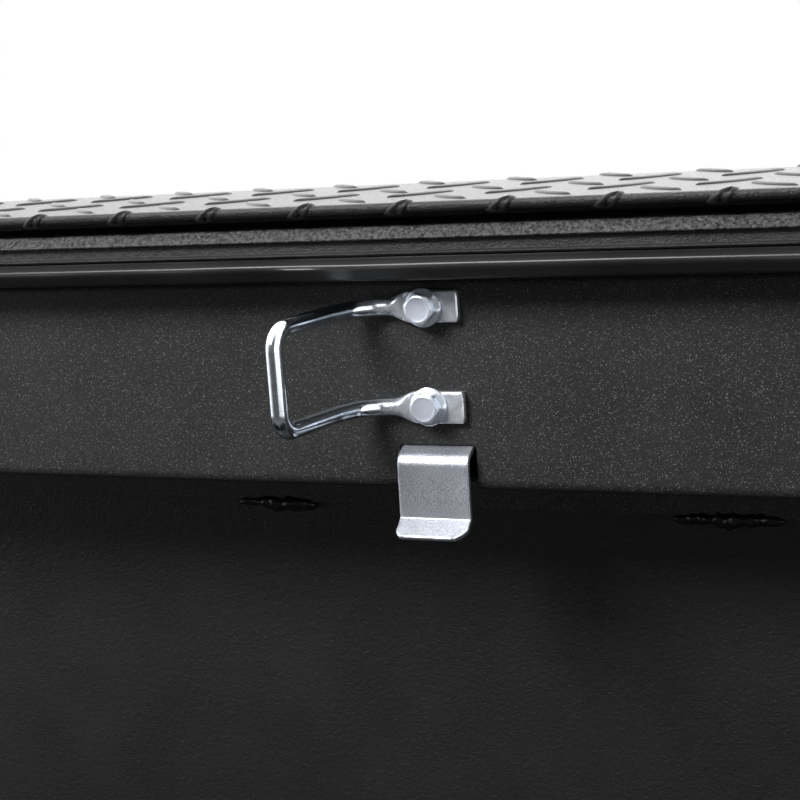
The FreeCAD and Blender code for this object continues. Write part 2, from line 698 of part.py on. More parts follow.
def strut(side, sign):
    # plate on the side leg of the lid's inner frame
    lid_y, lid_z = LID_EYE
    pad(piece("strut_plate_lid_" + side), "x", *span(sign, HALF_LID - 28.05, HALF_LID - 31.05),
        rect(lid_y - 9, lid_y + 40, lid_z - 28, lid_z + 28, 4))

    # plate on the end panel, with a stepped stud
    eye_y, eye_z = TUB_EYE
    wall_x = HALF_LENGTH - SHEET - FIT
    plate = piece("strut_plate_tub_" + side)
    pad(plate, "x", *span(sign, wall_x, wall_x - 3),
        rect(eye_y - 30, eye_y + 30, eye_z - 13, eye_z + 13, 4))
    pad(plate, "x", *span(sign, wall_x - 3, STRUT_X + 5.5), circle(*TUB_EYE, 6))
    pad(plate, "x", *span(sign, STRUT_X + 5.6, STRUT_X - 5), circle(*TUB_EYE, 3.5))

    length = gap(TUB_EYE, LID_EYE)
    direction = unit(lid_y - eye_y, lid_z - eye_z)

    def along(start, end, radius, name):
        """Cylinder on the strut axis, measured from the tub eye."""
        return cylinder((sign * STRUT_X, *step(TUB_EYE, direction, start)),
                        (sign * STRUT_X, *step(TUB_EYE, direction, end)), radius, name)

    def across(eye, start, end, radius, name):
        return cylinder_x(sign * start, sign * end, *eye, radius, name)

    tube = fuse("tube_out", along(13, 240, 9, "tube"), along(5, 14, 5, "tube_neck"),
                across(TUB_EYE, STRUT_X - 4.5, STRUT_X + 4.5, 8, "tube_eye"))
    bore = fuse("tube_in", along(20, 232, 7.6, "tube_bore"), along(230, 242, 4.1, "tube_gland"),
                across(TUB_EYE, STRUT_X - 6, STRUT_X + 6, 3.55, "eye_bore"))
    keep(subtract("strut_tube_" + side, tube, bore))
    keep(fuse("strut_rod_" + side, along(150, length - 6, 4, "rod"),
              along(142, 152, 7.5, "piston"),
              along(length - 22, length - 5, 6, "socket_neck"),
              across(LID_EYE, STRUT_X - 5, STRUT_X + 5, 8, "socket"),
              across(LID_EYE, STRUT_X + 4, HALF_LID - 31.35, 4, "stud")))


for side, sign in SIDES:
    strut(side, sign)

# ================================================================ CENTRAL LATCH
LATCH_Y = -206.0                # working plane of the hook
HOOK = (-58.0, 316.0)           # (x, z) of the hook pivot
PAWL = (-14.0, 306.0)           # (x, z) of the pawl pivot

bracket = piece("latch_bracket")
pad(bracket, "x", -98, 38, folded([
    (WALL_Y + 1.25, 236), (WALL_Y + 1.25, 274.75), (LATCH_Y + 14, 274.75)], 2.5, 2.5))
cut(bracket, "y", WALL_Y - 1, WALL_Y + 4,
    *[circle(x, BRACKET_Z, BOLT_HOLE_R) for x in BRACKET_X])

# side plates, (x, z), with a throat open at the top
PLATE = [(-80, 276.1), (14, 276.1), (14, 330), (6, 348), (-22, 348), (-28.5, 342),
         (-28.5, 328), (-28.9, 325.6), (-31.2, 323.6), (-33.5, 323.2), (-35.8, 323.6),
         (-38.1, 325.6), (-38.5, 328), (-38.5, 342), (-45, 348), (-72, 348), (-80, 338)]
for label, y, pawl_hole in (("latch_plate_front", LATCH_Y - 8.5, 3.05),
                            ("latch_plate_rear", LATCH_Y + 6.0, 6.58)):
    pad(piece(label), "y", y, y + 2.5,
        outline(PLATE), circle(*HOOK, 4.05), circle(*PAWL, pawl_hole))

for label, pivot, radius, end_y in (("hook_pin", HOOK, 4.0, LATCH_Y + 9.5),
                                    ("pawl_pin", PAWL, 3.0, LATCH_Y + 12.5)):
    keep(fuse(label,
              cylinder_y(*pivot, LATCH_Y - 10.5, LATCH_Y - 8.52, radius + 2.2, label + "_head"),
              cylinder_y(*pivot, LATCH_Y - 9, end_y, radius, label + "_shank")))


def turn_about(body, pivot, degrees):
    """Turns a body about +Y through a pivot (x, z)."""
    body.Placement = Placement(Vector(0, 0, 0), Rotation(Vector(0, 1, 0), degrees),
                               Vector(pivot[0], 0, pivot[1]))


# hook, outline (x, z, corner radius) drawn shut and turned open
HOOK_OUTLINE = [
    (-70, 314, 3), (-70, 334, 6), (-64, 342, 6), (-31, 342, 5), (-26.5, 338.5, 2),
    (-26.0, 331, 1), (-29.2, 329.6, 0.6), (-30.0, 332.2, 1.2), (-46, 332.2, 2),
    (-46.6, 322, 1), (-46.0, 316, 1), (-48.5, 308.5, 1), (-54, 304.7, 1), (-57.3, 304.2, 0),
    (-57.3, 300.6, 0.6), (-60.5, 300.4, 0.8), (-62.5, 304.8, 1), (-67.5, 308, 2)]
hook = piece("latch_hook")
pad(hook, "y", LATCH_Y - 3, LATCH_Y + 3, outline(HOOK_OUTLINE), circle(*HOOK, 4.06))
turn_about(hook, HOOK, -50)

# Pawl: toothed arm between the plates, two-armed lever behind them, joined by a hub;
# outlines (x, z, corner radius) drawn engaged and lowered.
PAWL_ARM = [
    (-56.6, 303.4, 0.5), (-56.6, 297.5, 1.5), (-52, 296.5, 2), (-26, 300, 4),
    (-18, 299.8, 3), (-8, 301, 3), (-7.2, 307, 3), (-10, 312.4, 3),
    (-18, 312.8, 3), (-24, 308, 4), (-44, 303.0, 2)]
PAWL_LEVER = [(-18.5, 322, 4), (-9.5, 322, 4), (-8.6, 306, 0.5),
              (-9.5, 289, 4), (-18.5, 289, 4), (-19.4, 306, 0.5)]
pawl = piece("latch_pawl")
pawl_bore = circle(*PAWL, 3.06)
pad(pawl, "y", LATCH_Y - 3, LATCH_Y + 3, outline(PAWL_ARM), pawl_bore)
pad(pawl, "y", LATCH_Y + 9, LATCH_Y + 11, outline(PAWL_LEVER), pawl_bore)
pad(pawl, "y", LATCH_Y + 3, LATCH_Y + 9, circle(*PAWL, 6.5), pawl_bore)
for rise in (13, -13):          # pins for the pull rods
    pad(pawl, "y", LATCH_Y + 11, LATCH_Y + 17, circle(PAWL[0], PAWL[1] + rise, 2.0))
turn_about(pawl, PAWL, -12)


def coil_spring(label, pivot, coil_radius, leg):
    """One turn of wire round a pivot pin, with a straight leg at each end."""
    wire_radius, pitch, overlap = 0.6, 1.4, 0.4
    helix = Part.Wire(Part.makeHelix(pitch, pitch, coil_radius).Edges)
    first = helix.Edges[0]
    parameter = first.FirstParameter
    coil = sweep_circle(helix, first.valueAt(parameter), first.tangentAt(parameter), wire_radius)
    ends = sorted((vertex.Point for vertex in helix.Vertexes), key=lambda point: point.z)
    sideways = Vector(0, 1, 0)
    legs = [Part.makeCylinder(wire_radius, leg + overlap, ends[0] + sideways * overlap, -sideways),
            Part.makeCylinder(wire_radius, leg + overlap, ends[-1] - sideways * overlap, sideways)]
    spring = keep(fixed_shape(label, coil.fuse(legs)))
    spring.Placement = Placement(Vector(pivot[0], LATCH_Y - 3.8, pivot[1]),
                                 Rotation(Vector(0, 0, 1), Vector(0, -1, 0)))


coil_spring("hook_spring", HOOK, 5.6, 12)
coil_spring("pawl_spring", PAWL, 4.6, 7)

# bracket bolts and nuts
bolts, nuts = [], []
for x in BRACKET_X:
    bolts.append(fuse(
        "bracket_bolt",
        hexagon(x, -HALF_DEPTH - 1.5, BRACKET_Z, (0, -1, 0), HEX_R, 4.0, "bracket_hex"),
        cylinder_y(x, BRACKET_Z, -HALF_DEPTH - FIT, -HALF_DEPTH - 1.6, 8, "washer"),
        cylinder_y(x, BRACKET_Z, -HALF_DEPTH - 1, -HALF_DEPTH + 13, BOLT_R, "shank")))
    nuts.append(subtract(
        "bracket_nut",
        hexagon(x, WALL_Y + 2.55, BRACKET_Z, (0, 1, 0), HEX_R, 5.0, "bracket_nut_hex"),
        cylinder_y(x, BRACKET_Z, WALL_Y, WALL_Y + 14, NUT_BORE_R, "bracket_nut_bore")))
group("latch_bolts", bolts)
group("latch_nuts", nuts)

# ================================================================ PULL RODS AND HANDLES
ROD_Y = LATCH_Y + 14.0
ROD_Z = 300.0                   # straight outer run of the rods
ROD_PIN_X, ROD_PIN_Z = 830.0, 306.0     # pin of the paddle arm in the rod's end slot
PADDLE_X, PADDLE_Z = 862.0, 322.0       # paddle pivot
PADDLE_ARM = [                  # (x, z, corner radius)
    (866, 324, 1), (860, 325.5, 2), (846, 323, 6), (826, 310.5, 4),
    (825.4, 303, 3), (832, 301, 4), (850, 313, 6), (866, 318, 1)]


def pull_rod(side, sign, eye_x, slot_x, pawl_z, line_x):
    """Bent wire with a flat slotted eye at the pawl and another at the paddle.

    eye_x and slot_x are end stations; line_x is the wire's inner end and its two bends."""
    rod = piece("pull_rod_" + side)
    line = [(line_x[0], pawl_z), (line_x[1], pawl_z), (line_x[2], ROD_Z),
            (sign * (ROD_PIN_X - 5.5), ROD_Z)]
    profile = sketch(rod, "YZ_Plane", line[0][0], [circle(ROD_Y, pawl_z, PULL_ROD_R)])
    path = sketch(rod, "XZ_Plane", -ROD_Y, [[edge for edge, _ in rounded_line(line, 20)]],
                  "_path")
    doc.recompute()
    pipe = rod.newObject("PartDesign::AdditivePipe", rod.Name + "_pipe")
    pipe.Profile = profile
    pipe.Spine = (path, ["Edge%d" % i for i in range(1, 6)])
    rod.Tip = pipe
    doc.recompute()
    pad(rod, "y", ROD_Y - 1.5, ROD_Y + 1.5, rect(*eye_x, pawl_z - 5.2, pawl_z + 5.2, 4.5))
    pad(rod, "y", ROD_Y - 1.5, ROD_Y + 1.5,
        rect(*span(sign, ROD_PIN_X - 6, ROD_PIN_X + 5.5), ROD_Z - 12, ROD_Z + 12, 4.0))
    cut(rod, "y", ROD_Y - 3.5, ROD_Y + 3.5, slot(*slot_x, pawl_z, 3.0))
    cut(rod, "y", ROD_Y - 3.5, ROD_Y + 3.5,
        upright_slot(sign * ROD_PIN_X, ROD_Z - 6.2, ROD_Z + 6.2, 3.0))


def handle_dish(side, sign):
    """Flange outside the end panel with a pressed recess."""
    dish = piece("handle_dish_" + side)
    pad(dish, "x", *span(sign, HALF_LENGTH + FIT, HALF_LENGTH + 1.55),
        rect(-238, -130, 236, 344, 8))
    pad(dish, "x", *span(sign, 849.5, HALF_LENGTH + 1), rect(-227, -141, 273, 331, 6))
    cut(dish, "x", *span(sign, 851, HALF_LENGTH + 5), rect(-225.5, -142.5, 274.5, 329.5, 4.5))
    # slot for the paddle arm, lock hole, paddle pin holes
    cut(dish, "x", *span(sign, 848, 853), rect(-198.8, -193.2, 294, 327, 2))
    cut(dish, "x", *span(sign, HALF_LENGTH - 2, HALF_LENGTH + 4), circle(LOCK_Y, LOCK_Z, 9.6))
    cut(dish, "y", -230, -138, circle(sign * PADDLE_X, PADDLE_Z, 2.05))


def paddle(side, sign):
    """Plate with a curled lower lip, pivot barrel and an arm to the pull rod; its pin."""
    body = piece("paddle_" + side)
    pad(body, "x", *span(sign, 867.5, 869.5), rect(-222, -146, 277.5, 322, 5))
    pad(body, "y", -212, -156,
        folded(on_side(sign, [(868.5, 279.3), (862.5, 278.7), (860.8, 282)]), 2, 1.2))
    pad(body, "y", -219, -149, outline(on_side(sign, [
        (861, PADDLE_Z + 4), (869.5, PADDLE_Z), (869.5, PADDLE_Z - 9), (865, PADDLE_Z - 4)])))
    pad(body, "y", -219, -149, circle(sign * PADDLE_X, PADDLE_Z, 4.2))
    pad(body, "y", ROD_Y - 5.2, ROD_Y - 2.6, outline(on_side(sign, PADDLE_ARM)))
    pad(body, "y", ROD_Y - 2.7, ROD_Y + 2.6, circle(sign * ROD_PIN_X, ROD_PIN_Z, 2.0))
    cut(body, "y", -225, -143, circle(sign * PADDLE_X, PADDLE_Z, 2.06))
    keep(cylinder_y(sign * PADDLE_X, PADDLE_Z, -226.9, -141.1, 2.0, "paddle_pin_" + side))


def lock(side, sign):
    """Housing, a nut on it inside the end panel, and a plug with a cam."""

    def lock_cylinder(x0, x1, radius, name):
        return cylinder_x(sign * x0, sign * x1, LOCK_Y, LOCK_Z, radius, name)

    housing = fuse(
        "housing",
        lock_cylinder(HALF_LENGTH + 1.6, HALF_LENGTH + 3.6, 12, "lock_flange"),
        lock_cylinder(853, HALF_LENGTH + 2, 9.5, "lock_barrel"))
    keep(subtract("lock_housing_" + side, housing, lock_cylinder(850, 880, 6.5, "lock_bore")))
    nut = hexagon(sign * (HALF_LENGTH - SHEET - 0.1), LOCK_Y, LOCK_Z, (-sign, 0, 0), 14, 4,
                  "lock_hex")
    keep(subtract("lock_nut_" + side, nut, lock_cylinder(850, 880, 9.55, "lock_nut_bore")))
    plug = fuse("plug_solid", lock_cylinder(846.5, HALF_LENGTH + 2.6, 6.43, "plug_barrel"),
                box(*span(sign, 846.5, 848.9), LOCK_Y, -156, 248, 260, "cam"))
    keyway = box(*span(sign, HALF_LENGTH - 4, HALF_LENGTH + 4), LOCK_Y - 0.8, LOCK_Y + 0.8,
                 250, 258, "keyway")
    keep(subtract("lock_plug_" + side, plug, keyway))


pull_rod("left", -1, eye_x=(-24.5, -3.5), slot_x=(-17.4, -9.2), pawl_z=318.4,
         line_x=(-23.5, -88, -125))
pull_rod("right", 1, eye_x=(-27.5, -1.5), slot_x=(-21.3, -8.2), pawl_z=293.6,
         line_x=(-2.5, 60, 90))
for side, sign in SIDES:
    handle_dish(side, sign)
    paddle(side, sign)
    lock(side, sign)

group("dish_rivets", [
    cylinder_x(sign * (HALF_LENGTH + 1.6), sign * (HALF_LENGTH + 2.9), y, z, 2.6, "dish_rivet")
    for sign in (-1, 1) for z in (338, 290, 242) for y in (-232, -136)])

# blocks on the front wall that carry the pull rods
guides = []
for x in (-650, -350, 350, 650):
    guide = new_body("guide")
    pad(guide, "x", x - 8, x + 8, rect(WALL_Y, ROD_Y + 6, ROD_Z - 9, ROD_Z + 9, 4),
        circle(ROD_Y, ROD_Z, 2.6))
    guides.append(guide)
group("rod_guides", guides)

# ================================================================ checks and export
doc.recompute()
faulty = [obj.Label for obj in doc.Objects if "Invalid" in obj.State or "Error" in obj.State]
for obj in pieces:
    if obj.Shape.isNull() or not obj.Shape.isValid() or not obj.Shape.Solids:
        faulty.append(obj.Label)
if faulty:
    raise RuntimeError("faulty objects: %s" % faulty)
os.makedirs("parts", exist_ok=True)
for obj in pieces:
    obj.Shape.exportStep("parts/%s.step" % obj.Label)
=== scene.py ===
"""Truck tool box in black tread plate, standing on the floor with its lid open.

The box's length lies along x, its front faces -y and z is up. The lid stands upright at the
back with its underside facing the front. Lengths in the modelling code are millimetres and
are turned to metres as vertices are made; materials, lights and camera are in metres.
"""
import json
import math

import bmesh
import bpy
import numpy as np
from mathutils import Matrix, Vector

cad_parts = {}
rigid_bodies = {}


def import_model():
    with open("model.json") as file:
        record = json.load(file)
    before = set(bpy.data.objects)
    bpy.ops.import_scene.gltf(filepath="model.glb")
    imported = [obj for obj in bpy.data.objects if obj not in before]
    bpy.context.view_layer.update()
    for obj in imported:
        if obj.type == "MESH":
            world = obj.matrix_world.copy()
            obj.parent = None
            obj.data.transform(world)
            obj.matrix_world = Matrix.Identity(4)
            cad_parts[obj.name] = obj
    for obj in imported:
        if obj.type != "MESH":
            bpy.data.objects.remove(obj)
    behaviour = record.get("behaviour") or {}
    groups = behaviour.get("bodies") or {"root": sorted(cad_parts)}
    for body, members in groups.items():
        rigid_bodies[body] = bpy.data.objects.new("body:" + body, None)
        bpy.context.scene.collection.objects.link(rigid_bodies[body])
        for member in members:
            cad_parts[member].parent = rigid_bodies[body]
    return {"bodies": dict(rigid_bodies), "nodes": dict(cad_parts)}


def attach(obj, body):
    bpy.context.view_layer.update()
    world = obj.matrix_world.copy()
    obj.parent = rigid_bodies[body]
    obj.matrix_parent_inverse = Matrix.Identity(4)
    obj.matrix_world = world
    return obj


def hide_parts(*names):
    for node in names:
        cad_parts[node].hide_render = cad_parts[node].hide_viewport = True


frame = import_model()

nodes = frame["nodes"]
keepers = set(nodes.values()) | set(frame["bodies"].values())
for obj in list(bpy.data.objects):
    if obj not in keepers:
        bpy.data.objects.remove(obj)
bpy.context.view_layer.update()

MM = 0.001

# Open lid: `along` is x, `down` is measured from the top (front) edge, `out` from the underside
LID_LENGTH, LID_DEPTH = 1778.0, 508.0
UNDERSIDE_Y, LID_TOP_Z = 271.0, 871.2
STRIKER_DOWN = 57.7             # centre of the striker below the lid's top edge


def lid_point(along, down, out):
    """Lid coordinates in mm to metres, for arrays."""
    along, down, out = np.broadcast_arrays(np.asarray(along, float), down, out)
    return np.stack([along, UNDERSIDE_Y - out, LID_TOP_Z - down], -1) * MM


# ------------------------------------------------------------------ mesh helpers
built = []


def add_piece(name, mesh, material, body="lid", sharp_angle=None, replaces=None):
    """Make an object of (vertices, faces) that rides on a body of the frame."""
    vertices, faces = mesh
    data = bpy.data.meshes.new(name)
    data.from_pydata(vertices.tolist(), [], faces)
    data.validate()
    data.update()
    data.shade_smooth()
    if sharp_angle is not None:
        data.set_sharp_from_angle(angle=math.radians(sharp_angle))
    piece = bpy.data.objects.new(name, data)
    bpy.context.scene.collection.objects.link(piece)
    data.materials.append(material)
    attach(piece, body)
    if replaces:
        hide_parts(replaces)
    built.append(piece)


def skin(rings, closed=False):
    """Open-ended skin over equal rings of points; closed joins the last ring to the first."""
    count, size = len(rings), len(rings[0])
    faces = []
    for i in range(count if closed else count - 1):
        this, following = i * size, (i + 1) % count * size
        for j in range(size):
            j2 = (j + 1) % size
            faces.append((this + j, this + j2, following + j2, following + j))
    return np.concatenate(rings), faces


def loft(rings):
    """Skin with a flat cap on each end."""
    vertices, faces = skin(rings)
    size = len(rings[0])
    faces.append(tuple(range(size))[::-1])
    faces.append(tuple(range(len(vertices) - size, len(vertices))))
    return vertices, faces


def join(meshes):
    all_vertices, all_faces, start = [], [], 0
    for vertices, faces in meshes:
        all_vertices.append(vertices)
        all_faces += [tuple(i + start for i in face) for face in faces]
        start += len(vertices)
    return np.concatenate(all_vertices), all_faces


def circle_angles(count):
    return np.linspace(0, 2 * math.pi, count, endpoint=False)


def smooth_noise(x, scale, seed):
    """Smooth random function of x in -1..1 (wavelength about 2 x scale)."""
    values = np.random.default_rng(seed).uniform(-1, 1, 4096)
    t = np.asarray(x, float) / scale + 1000.0
    i = np.floor(t).astype(int)
    u = t - i
    u = u * u * (3 - 2 * u)
    return values[i % 4096] * (1 - u) + values[(i + 1) % 4096] * u


def smoothstep(low, high, x):
    t = np.clip((x - low) / (high - low), 0, 1)
    return t * t * (3 - 2 * t)


def fillet_path(points, radii, step):
    """Polyline with rounded corners, resampled evenly: points and their distances along it."""
    points = [np.array(p, float) for p in points]
    path = [points[0]]
    for before, corner, after, radius in zip(points, points[1:], points[2:], radii[1:]):
        back = (before - corner) / np.linalg.norm(before - corner)
        ahead = (after - corner) / np.linalg.norm(after - corner)
        half = math.acos(np.clip(back @ ahead, -1, 1)) / 2
        middle = (back + ahead) / np.linalg.norm(back + ahead)
        centre = corner + middle * (radius / math.sin(half))
        tangent_length = radius / math.tan(half)
        start = corner + back * tangent_length - centre
        end = corner + ahead * tangent_length - centre
        sweep = math.acos(np.clip(start @ end / radius / radius, -1, 1))
        count = max(3, int(sweep * radius / step))
        for j in range(count + 1):
            t = j / count
            spoke = math.sin((1 - t) * sweep) * start + math.sin(t * sweep) * end
            path.append(centre + spoke / math.sin(sweep))
    path.append(points[-1])
    path = np.array(path)
    gaps = np.linalg.norm(np.diff(path, axis=0), axis=1)
    path = path[np.concatenate([[True], gaps > 1e-6])]
    gaps = np.linalg.norm(np.diff(path, axis=0), axis=1)
    travelled = np.concatenate([[0], np.cumsum(gaps)])
    distances = np.linspace(0, travelled[-1], int(travelled[-1] / step) + 1)
    even = np.stack([np.interp(distances, travelled, path[:, i]) for i in range(3)], -1)
    return even, distances


def unit_tangents(path):
    tangents = np.gradient(path, axis=0)
    return tangents / np.linalg.norm(tangents, axis=1)[:, None]


# ------------------------------------------------------------------ node helpers
class Graph:
    """Adds nodes to one node tree. Values may be numbers, colours or output sockets."""

    def __init__(self, tree):
        self.tree = tree
        tree.nodes.clear()

    def node(self, kind, **settings):
        node = self.tree.nodes.new(kind)
        for name, value in settings.items():
            setattr(node, name, value)
        return node

    def feed(self, socket, value):
        if isinstance(value, (int, float)):
            socket.default_value = value
        elif isinstance(value, tuple):
            socket.default_value = (*value, 1)
        else:
            self.tree.links.new(value, socket)

    def math(self, operation, a, b, clamp=False):
        node = self.node("ShaderNodeMath", operation=operation, use_clamp=clamp)
        self.feed(node.inputs[0], a)
        self.feed(node.inputs[1], b)
        return node.outputs[0]

    def linear(self, value, gain, offset):
        return self.math("ADD", self.math("MULTIPLY", value, gain), offset)

    def weighted(self, a, weight_a, b, weight_b):
        first = self.math("MULTIPLY", a, weight_a)
        return self.math("ADD", first, self.math("MULTIPLY", b, weight_b))

    def ramp(self, value, stops):
        """Colour ramp over (position, grey or colour) stops."""
        node = self.node("ShaderNodeValToRGB")
        elements = node.color_ramp.elements
        while len(elements) < len(stops):
            elements.new(0.5)
        for i, (position, color) in enumerate(stops):
            elements[i].position = position
            elements[i].color = (*(color if isinstance(color, tuple) else (color,) * 3), 1)
        self.feed(node.inputs[0], value)
        return node.outputs[0]

    def split(self, vector):
        """The x, y and z outputs of a vector."""
        node = self.node("ShaderNodeSeparateXYZ")
        self.feed(node.inputs[0], vector)
        return node.outputs

    def mix_shader(self, factor, a, b):
        node = self.node("ShaderNodeMixShader")
        for socket, value in zip(node.inputs, (factor, a, b)):
            self.feed(socket, value)
        return node.outputs[0]


class Material(Graph):
    """A principled material textured in object coordinates."""

    def __init__(self, name):
        self.material = bpy.data.materials.new(name)
        self.material.use_nodes = True
        super().__init__(self.material.node_tree)
        self.output = self.node("ShaderNodeOutputMaterial")
        self.shader = self.node("ShaderNodeBsdfPrincipled")
        self.feed(self.output.inputs[0], self.shader.outputs[0])
        self.position = self.node("ShaderNodeTexCoord").outputs["Object"]

    def surface(self, **inputs):
        for name, value in inputs.items():
            self.feed(self.shader.inputs[name.replace("_", " ")], value)

    def noise(self, scale, detail=2.0, roughness=0.5, stretch=None):
        node = self.node("ShaderNodeTexNoise")
        node.inputs["Scale"].default_value = scale
        node.inputs["Detail"].default_value = detail
        node.inputs["Roughness"].default_value = roughness
        position = self.position
        if stretch:
            mapping = self.node("ShaderNodeMapping")
            mapping.inputs["Scale"].default_value = stretch
            self.feed(mapping.inputs[0], position)
            position = mapping.outputs[0]
        self.feed(node.inputs["Vector"], position)
        return node.outputs["Fac"]

    def mix(self, factor, a, b):
        node = self.node("ShaderNodeMix", data_type="RGBA")
        for index, value in ((0, factor), (6, a), (7, b)):
            self.feed(node.inputs[index], value)
        return node.outputs[2]

    def bump(self, height, strength, distance=0.0002, bevel=0.0):
        """Bumped normal, over edges softened to the bevel radius where one is given."""
        if bevel:
            rounding = self.node("ShaderNodeBevel", samples=4)
            rounding.inputs["Radius"].default_value = bevel
        node = self.node("ShaderNodeBump")
        node.inputs["Strength"].default_value = strength
        node.inputs["Distance"].default_value = distance
        self.feed(node.inputs["Height"], height)
        if bevel:
            self.feed(node.inputs["Normal"], rounding.outputs[0])
        return node.outputs[0]


# ------------------------------------------------------------------ materials
def painted_ledge_highlight(m, tone):
    """Painted highlight: a paler, speckled powder colour on the first ledge inside the front
    hem, standing in for the light that ledge catches.
    """
    bottom_z, top_z, back_y = 0.8580, 0.8635, 0.2535

    def above(a, b, steepness):
        return m.math("MULTIPLY", m.math("SUBTRACT", a, b), steepness, clamp=True)

    _, y, z = m.split(m.position)
    over_bottom = above(z, bottom_z, 4000.0)
    under_top = above(top_z, z, 4000.0)
    in_front = above(back_y, y, 1000.0)
    highlight_mask = m.math("MULTIPLY", m.math("MULTIPLY", over_bottom, under_top), in_front)
    highlight_speckle = m.ramp(m.noise(scale=760, roughness=0.6), [(0.36, 0.012), (0.66, 0.10)])
    return m.mix(highlight_mask, tone, highlight_speckle)


def powder(name, base=0.015, rough=0.42, painted_glint=0.05, grain=0.7, distance=0.00022,
           bevel=0.0007, ledge=False):
    """Fine black powder coat: small orange-peel grains and scattered painted glints (bright
    spots in the base colour standing in for sparkle highlights).
    """
    m = Material(name)
    fine = m.noise(scale=1500, roughness=0.55)
    medium = m.noise(scale=520, detail=1.0)
    broad = m.noise(scale=28)
    # painted glints: random cells, only the core of each shows as a bright spot in the base
    # colour
    cells = m.node("ShaderNodeTexVoronoi", feature="F1", distance="EUCLIDEAN")
    cells.inputs["Scale"].default_value = 2400
    m.feed(cells.inputs["Vector"], m.position)
    channels = m.node("ShaderNodeSeparateColor")
    m.feed(channels.inputs[0], cells.outputs["Color"])
    chosen = m.ramp(channels.outputs[0], [(0.42, 0.0), (0.86, 0.26), (0.99, 0.95)])
    core = m.ramp(cells.outputs["Distance"], [(0.12, 1.0), (0.55, 0.0)])
    painted_glints = m.math("MULTIPLY", m.math("MULTIPLY", chosen, core), painted_glint)
    tone = m.ramp(broad, [(0.3, base * 0.86), (0.7, (base * 1.14, base * 1.14, base * 1.17))])
    # painted highlight on the first ledge inside the front hem, where asked for
    if ledge:
        tone = painted_ledge_highlight(m, tone)
    # the painted glints mix a pale grey into the base colour
    m.surface(Base_Color=m.mix(painted_glints, tone, (0.34, 0.34, 0.335)),
              Roughness=m.linear(medium, gain=0.14, offset=rough - 0.07))
    height = m.weighted(fine, 0.6, medium, 0.5)
    m.surface(Normal=m.bump(height, min(0.75 * grain, 1.0), distance, bevel), IOR=1.36)
    return m.material


def rubber(name, base, rough):
    m = Material(name)
    fine = m.noise(scale=900)
    broad = m.noise(scale=22)
    m.surface(Base_Color=m.ramp(broad, [(0.35, base * 0.8), (0.7, base * 1.35)]),
              Roughness=m.linear(broad, gain=0.16, offset=rough - 0.06),
              Normal=m.bump(fine, strength=0.12), IOR=1.45)
    return m.material


def metal(name, color, rough, wave, mottle, grain=0.0, bevel=0.0, metallic=1.0,
          stretch=None, wave_scale=160):
    """Plated or bare metal: slow mottling and waviness, with an optional frosted grain."""
    m = Material(name)
    waves = m.noise(wave_scale, detail=3.0, roughness=0.55, stretch=stretch)
    dark = tuple(c * (1 - mottle) for c in color)
    light = tuple(min(1, c * (1 + mottle)) for c in color)
    grains = m.noise(scale=2200, roughness=0.6)
    tone = m.weighted(waves, 0.6, grains, 0.4) if grain else waves
    m.surface(Base_Color=m.ramp(tone, [(0.34, dark), (0.66, light)]),
              Roughness=m.linear(waves, gain=0.12, offset=rough - 0.06))
    height = m.weighted(waves, wave, grains, grain)
    m.surface(Normal=m.bump(height, strength=1.0, bevel=bevel), Metallic=metallic)
    return m.material


def bent_rod(name):
    """Bright plated rod that turns rougher and mottled on its two feet, by position in x."""
    m = Material(name)
    x = m.split(m.position)[0]
    foot = m.ramp(m.linear(x, gain=50.0, offset=1.15), [(0.0, 0.0), (0.70, 1.0)])
    waves = m.noise(scale=330, detail=3.0, roughness=0.55)
    grains = m.noise(scale=1200, roughness=0.6)
    tone = m.weighted(waves, 0.7, grains, 0.3)
    rod_color = m.ramp(tone, [(0.34, (0.58, 0.63, 0.69)), (0.66, (0.74, 0.79, 0.86))])
    foot_color = m.ramp(tone, [(0.34, (0.54, 0.57, 0.62)), (0.66, (0.78, 0.81, 0.87))])
    m.surface(Base_Color=m.mix(foot, rod_color, foot_color),
              Roughness=m.math("ADD", m.math("MULTIPLY", foot, 0.14),
                               m.linear(waves, gain=0.10, offset=0.11)),
              Metallic=m.math("SUBTRACT", 1.0, m.math("MULTIPLY", foot, 0.42)))
    wave_height = m.math("MULTIPLY", waves, m.linear(foot, gain=0.22, offset=0.08))
    grain_height = m.math("MULTIPLY", grains, m.math("MULTIPLY", foot, 0.3))
    height = m.math("ADD", wave_height, grain_height)
    m.surface(Normal=m.bump(height, strength=1.0))
    return m.material


def frosted(name):
    """Frosted zinc plate: fine light and dark grain under a soft sheen."""
    m = Material(name)
    grains = m.noise(scale=2400, detail=1.0)
    broad = m.noise(scale=110)
    tone = m.weighted(grains, 0.86, broad, 0.14)
    m.surface(Base_Color=m.ramp(tone, [(0.36, (0.37, 0.385, 0.42)), (0.64, (0.66, 0.70, 0.77))]),
              Roughness=m.linear(grains, gain=0.16, offset=0.26),
              Normal=m.bump(grains, strength=0.4), Metallic=0.72)
    return m.material


def plain(name, base, rough, grain, scale, bevel, coat=0.0):
    """Even dark surface with a fine grain and an optional clear coat."""
    m = Material(name)
    grains = m.noise(scale)
    m.surface(Base_Color=m.ramp(grains, [(0.3, base * 0.85), (0.7, base * 1.15)]),
              Roughness=rough, Coat_Weight=coat,
              Normal=m.bump(grains, strength=grain, bevel=bevel))
    return m.material


